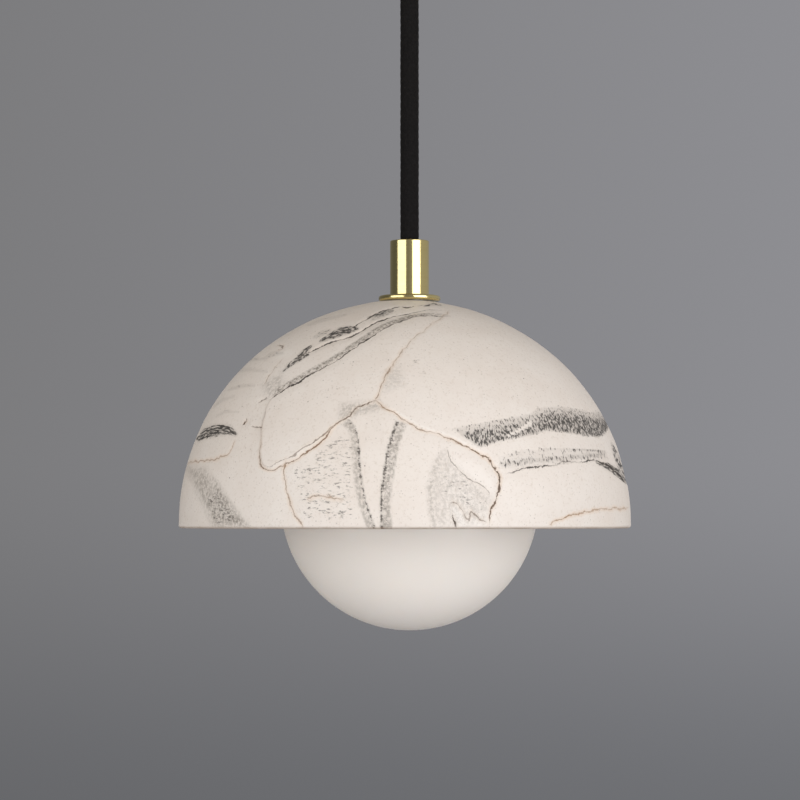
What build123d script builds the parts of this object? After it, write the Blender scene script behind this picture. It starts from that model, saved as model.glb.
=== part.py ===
from build123d import *
import math
import os

# Dome pendant light: a hand-formed ceramic dome over an opal glass globe, hung on a braided cord from a
# brass ceiling rose. Millimetres, +Z up. The origin is the middle of the ceiling bracket's upper face, and
# everything hangs on the Z axis but the dome, which was formed a little to one side of its own hole.

# Gaps between pieces
fixed_gap = 0.1
thread_gap = 0.05
running_gap = 0.3

# Ceiling bracket, a steel strap with two turned-down ears; its slots keep their share of the rose's width
bracket_width = 18.0
bracket_thickness = 1.5
ear_depth = 16.0
ear_corner_radius = 3.0
slot_spacing_share = 0.6
slot_length_share = 0.16
ceiling_slot_width = 5.0
earth_screw_diameter = 4.0
earth_screw_length = 4.5
pan_head_share = 1.8

# Side screws that hold the rose cup to the ears
side_screw_diameter = 4.0
side_screw_depth = 9.0
side_screw_head_diameter = 8.0
side_screw_head_length = 4.5

# Three-pole terminal block under the strap
pole_count = 3
pole_pitch = 11.0
block_depth = 16.0
block_height = 9.0
block_groove = 1.0
sleeve_bore = 4.0
sleeve_wall = 1.0
sleeve_web = 1.0
clamp_screw_diameter = 2.4
clamp_screw_spacing = 8.0
fixing_screw_diameter = 2.5
screw_head_height = 1.2

# Rose cup, spun from brass sheet
rose_diameter = 100.0
rose_height = 27.0
rose_wall = 1.2
rose_corner_radius = 3.0

# Threads and nuts, all of one size
thread_diameter = 10.0
tube_bore = 7.2
nut_flats = 14.0
nut_height = 3.5
thread_end = 0.8
washer_diameter = 22.0
washer_thickness = 1.2

# Cord with three cores, and its free length between the two grips
cord_diameter = 7.3
cord_free_length = 97.5
core_diameter = 2.0
core_circle = 3.2
core_bend_radius = 2.2

# Gland under the rose, with a ball bush in which the cord swings
gland_length = 20.0
gland_wall = 1.2
bush_wall = 2.05
bush_rise = 2.0
bush_drop = 1.6
pivot_height = 4.5
seat_rise = 3.5
seat_drop = 3.1
spigot_length = 1.5
spigot_wall = 1.15
swing_limit = 12.0

# Cord grip and flange over the dome
grip_diameter = 15.2
grip_height = 21.5
grip_edge_radius = 0.4
grip_cord_depth = 12.0
grip_thread_depth = 8.3
grub_screw_diameter = 3.0
flange_diameter = 24.2
flange_thickness = 2.1
flange_edge_radius = 0.95
top_gasket_diameter = 19.0
top_gasket_thickness = 0.5

# Ceramic dome: half an ellipse on a short straight skirt
dome_diameter = 175.0
dome_crown = 86.0
dome_skirt = 2.5
dome_wall = 5.5
dome_rim_radius = 1.3
dome_flat_depth = 0.75
dome_pad_depth = 1.4
dome_pad_diameter = 26.0
dome_hole_diameter = 11.0
dome_offset = -1.9
lower_gasket_thickness = 1.0

# Globe gallery: a brass cup with an outside thread for the globe and a shoulder above it
gallery_thread_diameter = 30.4
gallery_wall = 1.4
gallery_plate = 1.5
gallery_shoulder_diameter = 40.0
gallery_shoulder_depth = 9.9
gallery_shoulder_thickness = 1.5
gallery_skirt_length = 9.8
earth_tag_diameter = 15.0
earth_tag_thickness = 0.8
earth_tag_width = 4.5
earth_tag_reach = 12.6
gallery_nut_height = 3.0

# Opal glass globe with a screwed neck, on a silicone ring
globe_diameter = 100.0
globe_wall = 2.2
globe_neck_wall = 3.0
globe_neck_rise = 54.0
globe_neck_fillet = 2.5
globe_lip_radius = 0.8
seal_thickness = 1.5

# Porcelain lampholder for a two-pin lamp, carried by a steel stirrup inside the gallery
stirrup_thickness = 1.0
stirrup_width = 13.0
stirrup_leg_width = 8.0
stirrup_leg_length = 18.0
holder_length = 21.0
holder_width = 15.0
holder_height = 16.0
holder_drop = 9.2
holder_screw_diameter = 2.9
holder_screw_length = 4.5
holder_screw_drop = 4.5
pin_pitch = 9.0
pin_width = 2.6
pin_thickness = 0.7
pin_length = 12.0
pin_slot_gap = 0.4
contact_thickness = 0.4
contact_height = 9.0
contact_width = 3.4
contact_bow = 0.5
cavity_length = 3.4
cavity_depth = 11.0

# Two-pin lamp
lamp_base_length = 14.5
lamp_base_width = 9.5
lamp_base_height = 9.0
lamp_diameter = 16.0
lamp_height = 40.0
lamp_wall = 0.8
board_width = 9.0
board_thickness = 1.0
board_height = 26.0
board_stem = 3.0

# Heights, from the ceiling down
bracket_underside = -bracket_thickness
block_underside = bracket_underside - block_height
sleeve_height = bracket_underside - block_height / 2
rose_underside = -rose_height
rose_floor = rose_underside + rose_wall
rose_washer_top = rose_floor + washer_thickness
rose_nut_top = rose_washer_top + nut_height
gland_top = rose_nut_top + thread_end
cord_upper_top = gland_top + thread_end
gland_mouth = rose_underside - gland_length
pivot = gland_mouth + pivot_height
gland_cap_top = pivot + seat_rise + spigot_length
grip_top = gland_mouth - cord_free_length
grip_bottom = grip_top - grip_height
cord_bottom = grip_top - grip_cord_depth
flange_bottom = grip_bottom - flange_thickness
dome_top = flange_bottom - top_gasket_thickness
dome_centre = dome_top + dome_flat_depth - dome_crown
dome_rim = dome_centre - dome_skirt
dome_pad = dome_centre + dome_crown - dome_wall - dome_pad_depth
lower_gasket_bottom = dome_pad - lower_gasket_thickness
washer_bottom = lower_gasket_bottom - washer_thickness
gallery_top = washer_bottom - nut_height
gallery_ceiling = gallery_top - gallery_plate
shoulder_bottom = gallery_top - gallery_shoulder_depth
gallery_bottom = shoulder_bottom - gallery_skirt_length
tag_bottom = gallery_ceiling - earth_tag_thickness
stirrup_bottom = tag_bottom - stirrup_thickness
gallery_nut_bottom = stirrup_bottom - gallery_nut_height
tube_bottom = gallery_nut_bottom - thread_end
tube_top = grip_bottom + grip_thread_depth - fixed_gap
neck_top = shoulder_bottom - seal_thickness
globe_centre = neck_top - globe_neck_rise
holder_top = stirrup_bottom - holder_drop
holder_bottom = holder_top - holder_height
cavity_bottom = holder_top - cavity_depth
lamp_top = holder_bottom - running_gap
envelope_top = lamp_top - lamp_base_height

# Radii that follow from what goes inside
cord_radius = cord_diameter / 2
thread_radius = thread_diameter / 2
rose_inside = rose_diameter / 2 - rose_wall
ear_face = math.sqrt((rose_inside - running_gap) ** 2 - (bracket_width / 2) ** 2)
ceiling_slot_spacing = slot_spacing_share * rose_diameter
ceiling_slot_length = slot_length_share * rose_diameter
earth_screw_room = pan_head_share * earth_screw_diameter / 2 + running_gap
earth_screw_place = ear_face - bracket_thickness - earth_screw_room
sleeve_radius = sleeve_bore / 2 + sleeve_wall
bush_bore = cord_radius + running_gap
bush_radius = bush_bore + bush_wall
seat_radius = bush_radius + running_gap
gland_radius = seat_radius + gland_wall
spigot_radius = gland_radius - spigot_wall
double_swing = math.acos(math.cos(math.radians(swing_limit)) ** 2)
gallery_thread = gallery_thread_diameter / 2
gallery_bore = gallery_thread - gallery_wall
neck_bore = gallery_thread + running_gap
neck_radius = neck_bore + globe_neck_wall


def save(name, shape):
    """Write one piece of the light."""
    shape.label = name
    export_step(shape, f"parts/{name}.step")


def rod(diameter, bottom, top, x=0.0, y=0.0):
    """An upright cylinder between two heights."""
    base = (Align.CENTER, Align.CENTER, Align.MIN)
    return Pos(x, y, bottom) * Cylinder(diameter / 2, top - bottom, align=base)


def ring(outside, inside, bottom, top):
    """An upright ring on the hanging axis."""
    return rod(outside, bottom, top) - rod(inside, bottom - 1, top + 1)


def block(length, width, bottom, top, x=0.0, y=0.0):
    """An upright box between two heights."""
    base = (Align.CENTER, Align.CENTER, Align.MIN)
    return Pos(x, y, bottom) * Box(length, width, top - bottom, align=base)


def turned(*edges):
    """A solid turned about the hanging axis, from edges drawn as (radius, height)."""
    return revolve(Plane.XZ * make_face(Curve() + list(edges)), Axis.Z)


def nut(flats, hole, bottom, top):
    """A hexagon nut whose corners are turned off at both ends."""
    corner = flats / math.sqrt(3)
    chamfer_size = (corner - flats / 2) * 0.8
    hexagon = Pos(0, 0, bottom) * extrude(RegularPolygon(flats / 2, 6, major_radius=False), top - bottom)
    rounded = chamfer(rod(2 * corner, bottom, top).edges().filter_by(GeomType.CIRCLE), chamfer_size)
    return (hexagon & rounded) - rod(hole, bottom - 1, top + 1)


def pan_screw(diameter, length, head_height, tip):
    """A screw that points up, with its tip at a place and its head below."""
    x, y, z = tip
    head_diameter = pan_head_share * diameter
    under_head = z - length
    head = rod(head_diameter, under_head - head_height, under_head, x, y)
    head = fillet(head.edges().filter_by(GeomType.CIRCLE).sort_by(Axis.Z)[0], head_height / 2)
    return rod(diameter, under_head, z, x, y) + head


def core(points, radius):
    """One insulated core of the cord, swept along straight runs and arcs."""
    path = FilletPolyline(*points, radius=radius)
    section = Plane(origin=path @ 0, z_dir=path % 0) * Circle(core_diameter / 2)
    wire = sweep(section, path=path)
    expected = math.pi * core_diameter ** 2 / 4 * path.length
    print(f"core length {path.length:.1f} mm, arcs {radius} mm, volume ratio {wire.volume / expected:.4f}")
    return wire


def reach(depth, tilt):
    """How far from the axis the tilted cord reaches, at a depth under its pivot."""
    return cord_radius / math.cos(tilt) + depth * math.tan(tilt)


def ceiling_bracket():
    length = 2 * ear_face
    strap = block(length, bracket_width, bracket_underside, 0)
    ear = block(bracket_thickness, bracket_width, -ear_depth, 0, ear_face - bracket_thickness / 2)
    lower_edges = ear.edges().filter_by(Axis.X).group_by(Axis.Z)[0]
    ear = fillet(lower_edges, ear_corner_radius)
    body = strap + ear + mirror(ear, Plane.YZ)
    bends = body.edges().filter_by(Axis.Y).group_by(Axis.Z)[-1]
    body = fillet(bends, bracket_thickness * 0.9)
    side_hole = Rot(0, 90, 0) * Cylinder(side_screw_diameter / 2 + thread_gap, 3 * length)
    body -= Pos(0, 0, -side_screw_depth) * side_hole
    slot = extrude(SlotOverall(ceiling_slot_length, ceiling_slot_width), amount=2 * bracket_thickness, both=True)
    for side in (-1, 1):
        body -= Pos(side * ceiling_slot_spacing / 2, 0, 0) * slot
    body -= rod(earth_screw_diameter + 2 * thread_gap, bracket_underside - 1, 1, -earth_screw_place)
    for x in fixing_places():
        body -= rod(fixing_screw_diameter + 2 * thread_gap, bracket_underside - 1, 1, x)
    return body


def bracket_earth_screw():
    tip = (-earth_screw_place, 0, -fixed_gap)
    return pan_screw(earth_screw_diameter, earth_screw_length, screw_head_height, tip)


def rose_side_screws():
    pieces = []
    start = ear_face - bracket_thickness - 1
    head_start = rose_diameter / 2 + running_gap
    for side in (-1, 1):
        shank = Cylinder(side_screw_diameter / 2, head_start - start, align=(Align.CENTER, Align.CENTER, Align.MIN))
        shank = Pos(0, 0, start) * shank
        head = rod(side_screw_head_diameter, head_start, head_start + side_screw_head_length)
        head = fillet(head.edges().filter_by(GeomType.CIRCLE).sort_by(Axis.Z)[-1], 0.8)
        screw = Rot(0, 90 * side, 0) * (shank + head)
        pieces.append(Pos(0, 0, -side_screw_depth) * screw)
    return pieces


def pole_places():
    """The poles of the terminal block, along X."""
    middle = (pole_count - 1) / 2
    return [(pole - middle) * pole_pitch for pole in range(pole_count)]


def fixing_places():
    """The block's fixing screws, between the poles."""
    poles = pole_places()
    return [(poles[0] + poles[1]) / 2, (poles[-2] + poles[-1]) / 2]


def terminal_block():
    body = block(pole_count * pole_pitch, block_depth, block_underside, bracket_underside)
    body = fillet(body.edges().filter_by(Axis.Z), 1.0)
    for x in fixing_places():
        for side in (-1, 1):
            body -= block(block_groove, 2 * block_groove, block_underside - 1, 0, x, side * block_depth / 2)
        body -= rod(fixing_screw_diameter + 2 * fixed_gap, block_underside - 1, 0, x)
    across = Rot(90, 0, 0) * Cylinder(sleeve_radius + thread_gap, block_depth + 2)
    for x in pole_places():
        body -= Pos(x, 0, sleeve_height) * across
        for side in (-1, 1):
            y = side * clamp_screw_spacing / 2
            body -= rod(clamp_screw_diameter + 8 * fixed_gap, block_underside - 1, sleeve_height, x, y)
    return body


def terminal_sleeves():
    pieces = []
    half = block_depth / 2
    for x in pole_places():
        sleeve = Rot(90, 0, 0) * Cylinder(sleeve_radius, block_depth)
        for side in (-1, 1):
            y = side * (half + sleeve_web / 2) / 2
            bore = Rot(90, 0, 0) * Cylinder(sleeve_bore / 2, half - sleeve_web / 2)
            sleeve -= Pos(0, y, 0) * bore
            screw_hole = clamp_screw_diameter + 2 * thread_gap
            sleeve -= rod(screw_hole, -sleeve_radius - 1, -sleeve_bore / 4, 0, side * clamp_screw_spacing / 2)
        pieces.append(Pos(x, 0, sleeve_height) * sleeve)
    return pieces


def terminal_screws():
    tip = sleeve_height - sleeve_bore / 2 - thread_gap
    places = [(x, side * clamp_screw_spacing / 2) for x in pole_places() for side in (-1, 1)]
    return [rod(clamp_screw_diameter, block_underside, tip, x, y) for x, y in places]


def terminal_fixing_screws():
    length = block_height + bracket_thickness
    return [pan_screw(fixing_screw_diameter, length, screw_head_height, (x, 0, 0)) for x in fixing_places()]


def core_offsets():
    """Where the three cores lie in the cord, the middle one towards the terminal block's lamp side."""
    return [(core_circle / 2 * math.cos(math.radians(a)), core_circle / 2 * math.sin(math.radians(a)))
            for a in (150, 270, 30)]


def rose_core(pole):
    """A core from the top of the gripped cord, round under the block and into its sleeve."""
    x_start, y_start = core_offsets()[pole]
    x_end = pole_places()[pole]
    level = (cord_upper_top + block_underside - screw_head_height) / 2
    outside = -block_depth / 2 - 3 * core_bend_radius
    points = [
        (x_start, y_start, cord_upper_top),
        (x_start, y_start, level),
        (x_end, outside, level),
        (x_end, outside, sleeve_height),
        (x_end, -sleeve_web - 2 * core_diameter, sleeve_height),
    ]
    return core(points, min(core_bend_radius, 0.9 * (level - cord_upper_top)))


def rose_cup():
    outside = rose_diameter / 2
    cup = rod(rose_diameter, rose_underside, 0)
    cup = fillet(cup.edges().filter_by(GeomType.CIRCLE).sort_by(Axis.Z)[0], rose_corner_radius)
    hollow = rod(2 * rose_inside, rose_floor, rose_height)
    inner_corner = hollow.edges().filter_by(GeomType.CIRCLE).sort_by(Axis.Z)[0]
    hollow = fillet(inner_corner, max(rose_corner_radius - rose_wall, 0.3))
    cup -= hollow
    cup -= rod(thread_diameter + 2 * fixed_gap, rose_underside - 1, rose_floor + 1)
    slot_width = side_screw_diameter + 2 * running_gap
    slot_end = Pos(0, 0, -side_screw_depth) * (Rot(0, 90, 0) * Cylinder(slot_width / 2, 2 * outside + 2))
    slot = block(2 * outside + 2, slot_width, -side_screw_depth, 1) + slot_end
    return cup - slot


def rose_gland():
    body = rod(2 * gland_radius, gland_cap_top, rose_underside)
    body += rod(thread_diameter, rose_underside, gland_top)
    body += rod(2 * spigot_radius, pivot + seat_rise, gland_cap_top)
    body -= rod(cord_diameter + 2 * fixed_gap, pivot, gland_top + 1)
    return body - gland_screw_hole()


def gland_screw_height():
    return (rose_underside + gland_cap_top) / 2


def gland_screw_hole():
    across = Cylinder(grub_screw_diameter / 2 + thread_gap, gland_radius, align=(Align.CENTER, Align.CENTER, Align.MIN))
    return Pos(0, 0, gland_screw_height()) * (Rot(-90, 0, 0) * across)


def grub_screw(start, end, height):
    """A headless screw that points at the cord from the back."""
    length = end - start
    screw = Cylinder(grub_screw_diameter / 2, length, align=(Align.CENTER, Align.CENTER, Align.MIN))
    socket = extrude(RegularPolygon(grub_screw_diameter / 4, 6), length / 3)
    screw -= Pos(0, 0, length - length / 3) * socket
    return Pos(0, start, height) * (Rot(-90, 0, 0) * screw)


def gland_cap():
    top = gland_cap_top
    shelf = pivot + seat_rise
    seat_top = math.sqrt(seat_radius ** 2 - seat_rise ** 2)
    seat_bottom = math.sqrt(seat_radius ** 2 - seat_drop ** 2)
    lip = reach(seat_drop, double_swing) + running_gap
    mouth = reach(pivot_height, double_swing) + running_gap
    bore = spigot_radius + thread_gap
    seat = ThreePointArc((seat_top, shelf), (seat_radius, pivot), (seat_bottom, pivot - seat_drop))
    return turned(
        Line((gland_radius, top), (bore, top)),
        Line((bore, top), (bore, shelf)),
        Line((bore, shelf), (seat_top, shelf)),
        seat,
        Line((seat_bottom, pivot - seat_drop), (lip, pivot - seat_drop)),
        Line((lip, pivot - seat_drop), (mouth, gland_mouth)),
        Line((mouth, gland_mouth), (gland_radius - grip_edge_radius, gland_mouth)),
        RadiusArc(
            (gland_radius - grip_edge_radius, gland_mouth),
            (gland_radius, gland_mouth + grip_edge_radius),
            -grip_edge_radius,
        ),
        Line((gland_radius, gland_mouth + grip_edge_radius), (gland_radius, top)),
    )


def cord_bush():
    outer_top = math.sqrt(bush_radius ** 2 - bush_rise ** 2)
    outer_bottom = math.sqrt(bush_radius ** 2 - bush_drop ** 2)
    inner_top = math.sqrt(bush_bore ** 2 - bush_rise ** 2)
    inner_bottom = reach(bush_drop, math.radians(swing_limit)) + running_gap
    high = pivot + bush_rise
    low = pivot - bush_drop
    middle = bush_rise / 2
    bore_middle = (math.sqrt(bush_bore ** 2 - middle ** 2), pivot + middle)
    return turned(
        Line((inner_top, high), (outer_top, high)),
        ThreePointArc((outer_top, high), (bush_radius, pivot), (outer_bottom, low)),
        Line((outer_bottom, low), (inner_bottom, low)),
        Line((inner_bottom, low), (bush_bore, pivot)),
        ThreePointArc((bush_bore, pivot), bore_middle, (inner_top, high)),
    )


def cord():
    """The free cord, one straight run with a round end in the ball bush."""
    crown = pivot + cord_radius
    shoulder = cord_radius * math.sqrt(0.5)
    return turned(
        Line((0, cord_bottom), (cord_radius, cord_bottom)),
        Line((cord_radius, cord_bottom), (cord_radius, pivot)),
        ThreePointArc((cord_radius, pivot), (shoulder, pivot + shoulder), (0, crown)),
        Line((0, crown), (0, cord_bottom)),
    )


def cord_grip():
    body = rod(grip_diameter, grip_bottom, grip_top)
    body = fillet(body.edges().filter_by(GeomType.CIRCLE).sort_by(Axis.Z)[-1], grip_edge_radius)
    shelf = grip_bottom + grip_thread_depth
    body -= rod(cord_diameter + 2 * running_gap, shelf, grip_top + 1)
    body -= rod(thread_diameter + 2 * thread_gap, grip_bottom - 1, shelf)
    across = Cylinder(grub_screw_diameter / 2 + thread_gap, grip_diameter, align=(Align.CENTER, Align.CENTER, Align.MIN))
    return body - Pos(0, 0, grip_screw_height()) * (Rot(-90, 0, 0) * across)


def grip_screw_height():
    return (grip_top + cord_bottom) / 2 - grub_screw_diameter / 2


def flange():
    body = rod(flange_diameter, flange_bottom, grip_bottom)
    body = fillet(body.edges().filter_by(GeomType.CIRCLE), flange_edge_radius)
    return body - rod(thread_diameter + 2 * fixed_gap, flange_bottom - 1, grip_bottom + 1)


def quarter_ellipse(across, up):
    """A quarter of an ellipse about the dome's middle, from its side to its crown."""
    side = (across, dome_centre)
    corner = (across, dome_centre + up)
    crown = (0, dome_centre + up)
    return Bezier(side, corner, crown, weights=(1, math.sqrt(0.5), 1))


def dome_shell():
    """The dome's wall about its own axis, cut flat on top."""
    outside = dome_diameter / 2
    inside = outside - dome_wall
    inner_crown = dome_crown - dome_wall
    shell = turned(
        quarter_ellipse(outside, dome_crown),
        Line((0, dome_centre + dome_crown), (0, dome_centre + inner_crown)),
        quarter_ellipse(inside, inner_crown),
        Line((inside, dome_centre), (inside, dome_rim)),
        Line((inside, dome_rim), (outside, dome_rim)),
        Line((outside, dome_rim), (outside, dome_centre)),
    )
    rim_edges = shell.edges().filter_by(GeomType.CIRCLE).group_by(Axis.Z)[0]
    shell = fillet(rim_edges, dome_rim_radius)
    return shell - rod(outside, dome_top, dome_top + dome_crown)


def ceramic_dome():
    shell = Pos(dome_offset, 0, 0) * dome_shell()
    pad_top = dome_pad + dome_pad_depth + dome_wall / 2
    shell += rod(dome_pad_diameter, dome_pad, pad_top)
    return shell - rod(dome_hole_diameter, dome_pad - 1, dome_top + 1)


def globe_gallery():
    bore = thread_radius + fixed_gap
    shoulder = gallery_shoulder_diameter / 2
    shoulder_top = shoulder_bottom + gallery_shoulder_thickness
    body = rod(gallery_thread_diameter, gallery_bottom, gallery_top)
    body = fillet(body.edges().filter_by(GeomType.CIRCLE).sort_by(Axis.Z)[-1], gallery_wall)
    disc = rod(2 * shoulder, shoulder_bottom, shoulder_top)
    disc = fillet(disc.edges().filter_by(GeomType.CIRCLE).sort_by(Axis.Z)[-1], gallery_shoulder_thickness / 2)
    body += disc
    body -= rod(2 * gallery_bore, gallery_bottom - 1, gallery_ceiling)
    return body - rod(2 * bore, gallery_ceiling - 1, gallery_top + 1)


def earth_tag():
    body = rod(earth_tag_diameter, tag_bottom, gallery_ceiling)
    body += block(earth_tag_width, earth_tag_reach, tag_bottom, gallery_ceiling, 0, -earth_tag_reach / 2)
    return body - rod(thread_diameter + 2 * fixed_gap, tag_bottom - 1, gallery_ceiling + 1)


def stirrup_reach():
    """The outer face of the stirrup's legs, from the axis."""
    return holder_length / 2 + fixed_gap + stirrup_thickness


def holder_stirrup():
    half = stirrup_reach()
    body = block(2 * half, stirrup_width, stirrup_bottom, tag_bottom)
    leg_place = half - stirrup_thickness / 2
    foot = tag_bottom - stirrup_leg_length
    for side in (-1, 1):
        leg = block(stirrup_thickness, stirrup_leg_width, foot, tag_bottom, side * leg_place)
        leg = fillet(leg.edges().filter_by(Axis.X).group_by(Axis.Z)[0], 2.0)
        body += leg
    body -= rod(thread_diameter + 2 * fixed_gap, stirrup_bottom - 1, tag_bottom + 1)
    hole = Rot(0, 90, 0) * Cylinder(holder_screw_diameter / 2 + fixed_gap, 4 * half)
    return body - Pos(0, 0, holder_top - holder_screw_drop) * hole


def holder_screws():
    pieces = []
    for side in (-1, 1):
        tip = (0, 0, -(stirrup_reach() - holder_screw_length))
        screw = pan_screw(holder_screw_diameter, holder_screw_length, screw_head_height, tip)
        screw = Rot(0, -90 * side, 0) * screw
        pieces.append(Pos(0, 0, holder_top - holder_screw_drop) * screw)
    return pieces


def lampholder():
    """Porcelain body with a cavity for each contact, a slot for each pin and a raised nose."""
    outline = Rectangle(holder_length, holder_width)
    outline = fillet(outline.vertices(), holder_width / 3)
    body = Pos(0, 0, holder_bottom) * extrude(outline, holder_height)
    lower_edges = body.faces().sort_by(Axis.Z)[0].edges()
    body = chamfer(lower_edges, 1.0)
    hole = Rot(0, 90, 0) * Cylinder(holder_screw_diameter / 2 + fixed_gap, holder_screw_length)
    for side in (-1, 1):
        x = side * pin_pitch / 2
        body -= block(cavity_length, contact_width + 2 * fixed_gap, cavity_bottom, holder_top + 1, x)
        slot_length = pin_width + 2 * pin_slot_gap
        slot_width = pin_thickness + 2 * pin_slot_gap
        body -= block(slot_width, slot_length, holder_bottom - 1, cavity_bottom + 1, x)
        screw_middle = holder_length / 2 - holder_screw_length / 2 + 2 * fixed_gap
        body -= Pos(side * screw_middle, 0, holder_top - holder_screw_drop) * hole
    return body


def holder_contacts():
    """Two spring clips, each bent like a narrow staple whose legs bow towards the pin."""
    half = cavity_length / 2 - fixed_gap
    crown = holder_top
    foot = crown - contact_height
    waist = foot + contact_height / 3
    outer = [
        (half, foot),
        (half - contact_bow, waist),
        (half, crown - contact_height / 3),
        (half, crown),
    ]
    outer = outer + [(-x, z) for x, z in reversed(outer)]
    inner_half = half - contact_thickness
    inner = [
        (inner_half, foot),
        (inner_half - contact_bow, waist),
        (inner_half, crown - contact_height / 3),
        (inner_half, crown - contact_thickness),
    ]
    inner = inner + [(-x, z) for x, z in reversed(inner)]
    profile = make_face(Polyline(*outer, *reversed(inner), close=True))
    clip = extrude(Plane.XZ * profile, amount=contact_width / 2, both=True)
    return [Pos(side * pin_pitch / 2, 0, 0) * clip for side in (-1, 1)]


def head_cores():
    """Live and neutral down to the contacts, and earth round the nut and up to its tag."""
    start = cord_bottom - running_gap
    turn = tube_bottom - core_diameter / 2 - 0.5
    contact_top = holder_top
    left, front, right = core_offsets()
    landing = contact_top + 1.6
    bend = core_diameter * 0.6
    live = [(*left, start), (*left, turn), (-pin_pitch / 2, 0, landing), (-pin_pitch / 2, 0, contact_top)]
    neutral = [(*right, start), (*right, turn), (pin_pitch / 2, 0, landing), (pin_pitch / 2, 0, contact_top)]
    level = turn - core_diameter
    tag_place = -(earth_tag_reach - core_diameter)
    earth = [(*front, start), (*front, level), (front[0], tag_place, level), (front[0], tag_place, tag_bottom)]
    return core(live, bend), core(neutral, bend), core(earth, core_bend_radius * 0.8)


def glass_globe():
    outside = globe_diameter / 2
    inside = outside - globe_wall
    outer_joint = math.sqrt(outside ** 2 - neck_radius ** 2)
    inner_joint = math.sqrt(inside ** 2 - neck_bore ** 2)
    outer_angle = math.degrees(math.asin(outer_joint / outside))
    inner_angle = math.degrees(math.asin(inner_joint / inside))
    body = turned(
        Line((neck_bore, inner_joint), (neck_bore, globe_neck_rise)),
        Line((neck_bore, globe_neck_rise), (neck_radius, globe_neck_rise)),
        Line((neck_radius, globe_neck_rise), (neck_radius, outer_joint)),
        CenterArc((0, 0), outside, -90, outer_angle + 90),
        Line((0, -outside), (0, -inside)),
        CenterArc((0, 0), inside, -90, inner_angle + 90),
    )
    circles = body.edges().filter_by(GeomType.CIRCLE)
    joint = circles.filter_by(lambda edge: abs(edge.center().Z - outer_joint) < 0.01)
    body = fillet(joint, globe_neck_fillet)
    lip = body.edges().filter_by(GeomType.CIRCLE).group_by(Axis.Z)[-1].sort_by(SortBy.LENGTH)[-1]
    return Pos(0, 0, globe_centre) * fillet(lip, globe_lip_radius)


def lamp_base():
    outline = Rectangle(lamp_base_length, lamp_base_width)
    outline = fillet(outline.vertices(), lamp_base_width / 3)
    body = Pos(0, 0, envelope_top) * extrude(outline, lamp_base_height)
    body += rod(lamp_diameter - 2 * lamp_wall - 2 * fixed_gap, envelope_top - board_stem, envelope_top)
    board_slot = block(board_width + 2 * fixed_gap, board_thickness + 2 * fixed_gap,
                       envelope_top - board_stem - 1, envelope_top)
    body -= board_slot
    for side in (-1, 1):
        body -= block(pin_thickness + 2 * thread_gap, pin_width + 2 * thread_gap,
                      lamp_top - lamp_base_height / 2, lamp_top + 1, side * pin_pitch / 2)
    return body


def lamp_pins():
    pieces = []
    for side in (-1, 1):
        pin = block(pin_thickness, pin_width, lamp_top - lamp_base_height / 2 + thread_gap,
                    lamp_top + pin_length, side * pin_pitch / 2)
        pieces.append(chamfer(pin.edges().filter_by(Axis.Y).group_by(Axis.Z)[-1], pin_thickness / 4))
    return pieces


def lamp_envelope():
    """A thin capsule, open at the top where the base closes it."""
    outside = lamp_diameter / 2
    inside = outside - lamp_wall
    round_centre = envelope_top - lamp_height + outside
    return turned(
        Line((inside, envelope_top), (outside, envelope_top)),
        Line((outside, envelope_top), (outside, round_centre)),
        CenterArc((0, round_centre), outside, -90, 90),
        Line((0, round_centre - outside), (0, round_centre - inside)),
        CenterArc((0, round_centre), inside, -90, 90),
        Line((inside, round_centre), (inside, envelope_top)),
    )


def lamp_board():
    return block(board_width, board_thickness, envelope_top - board_stem - board_height,
                 envelope_top - fixed_gap)


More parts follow.
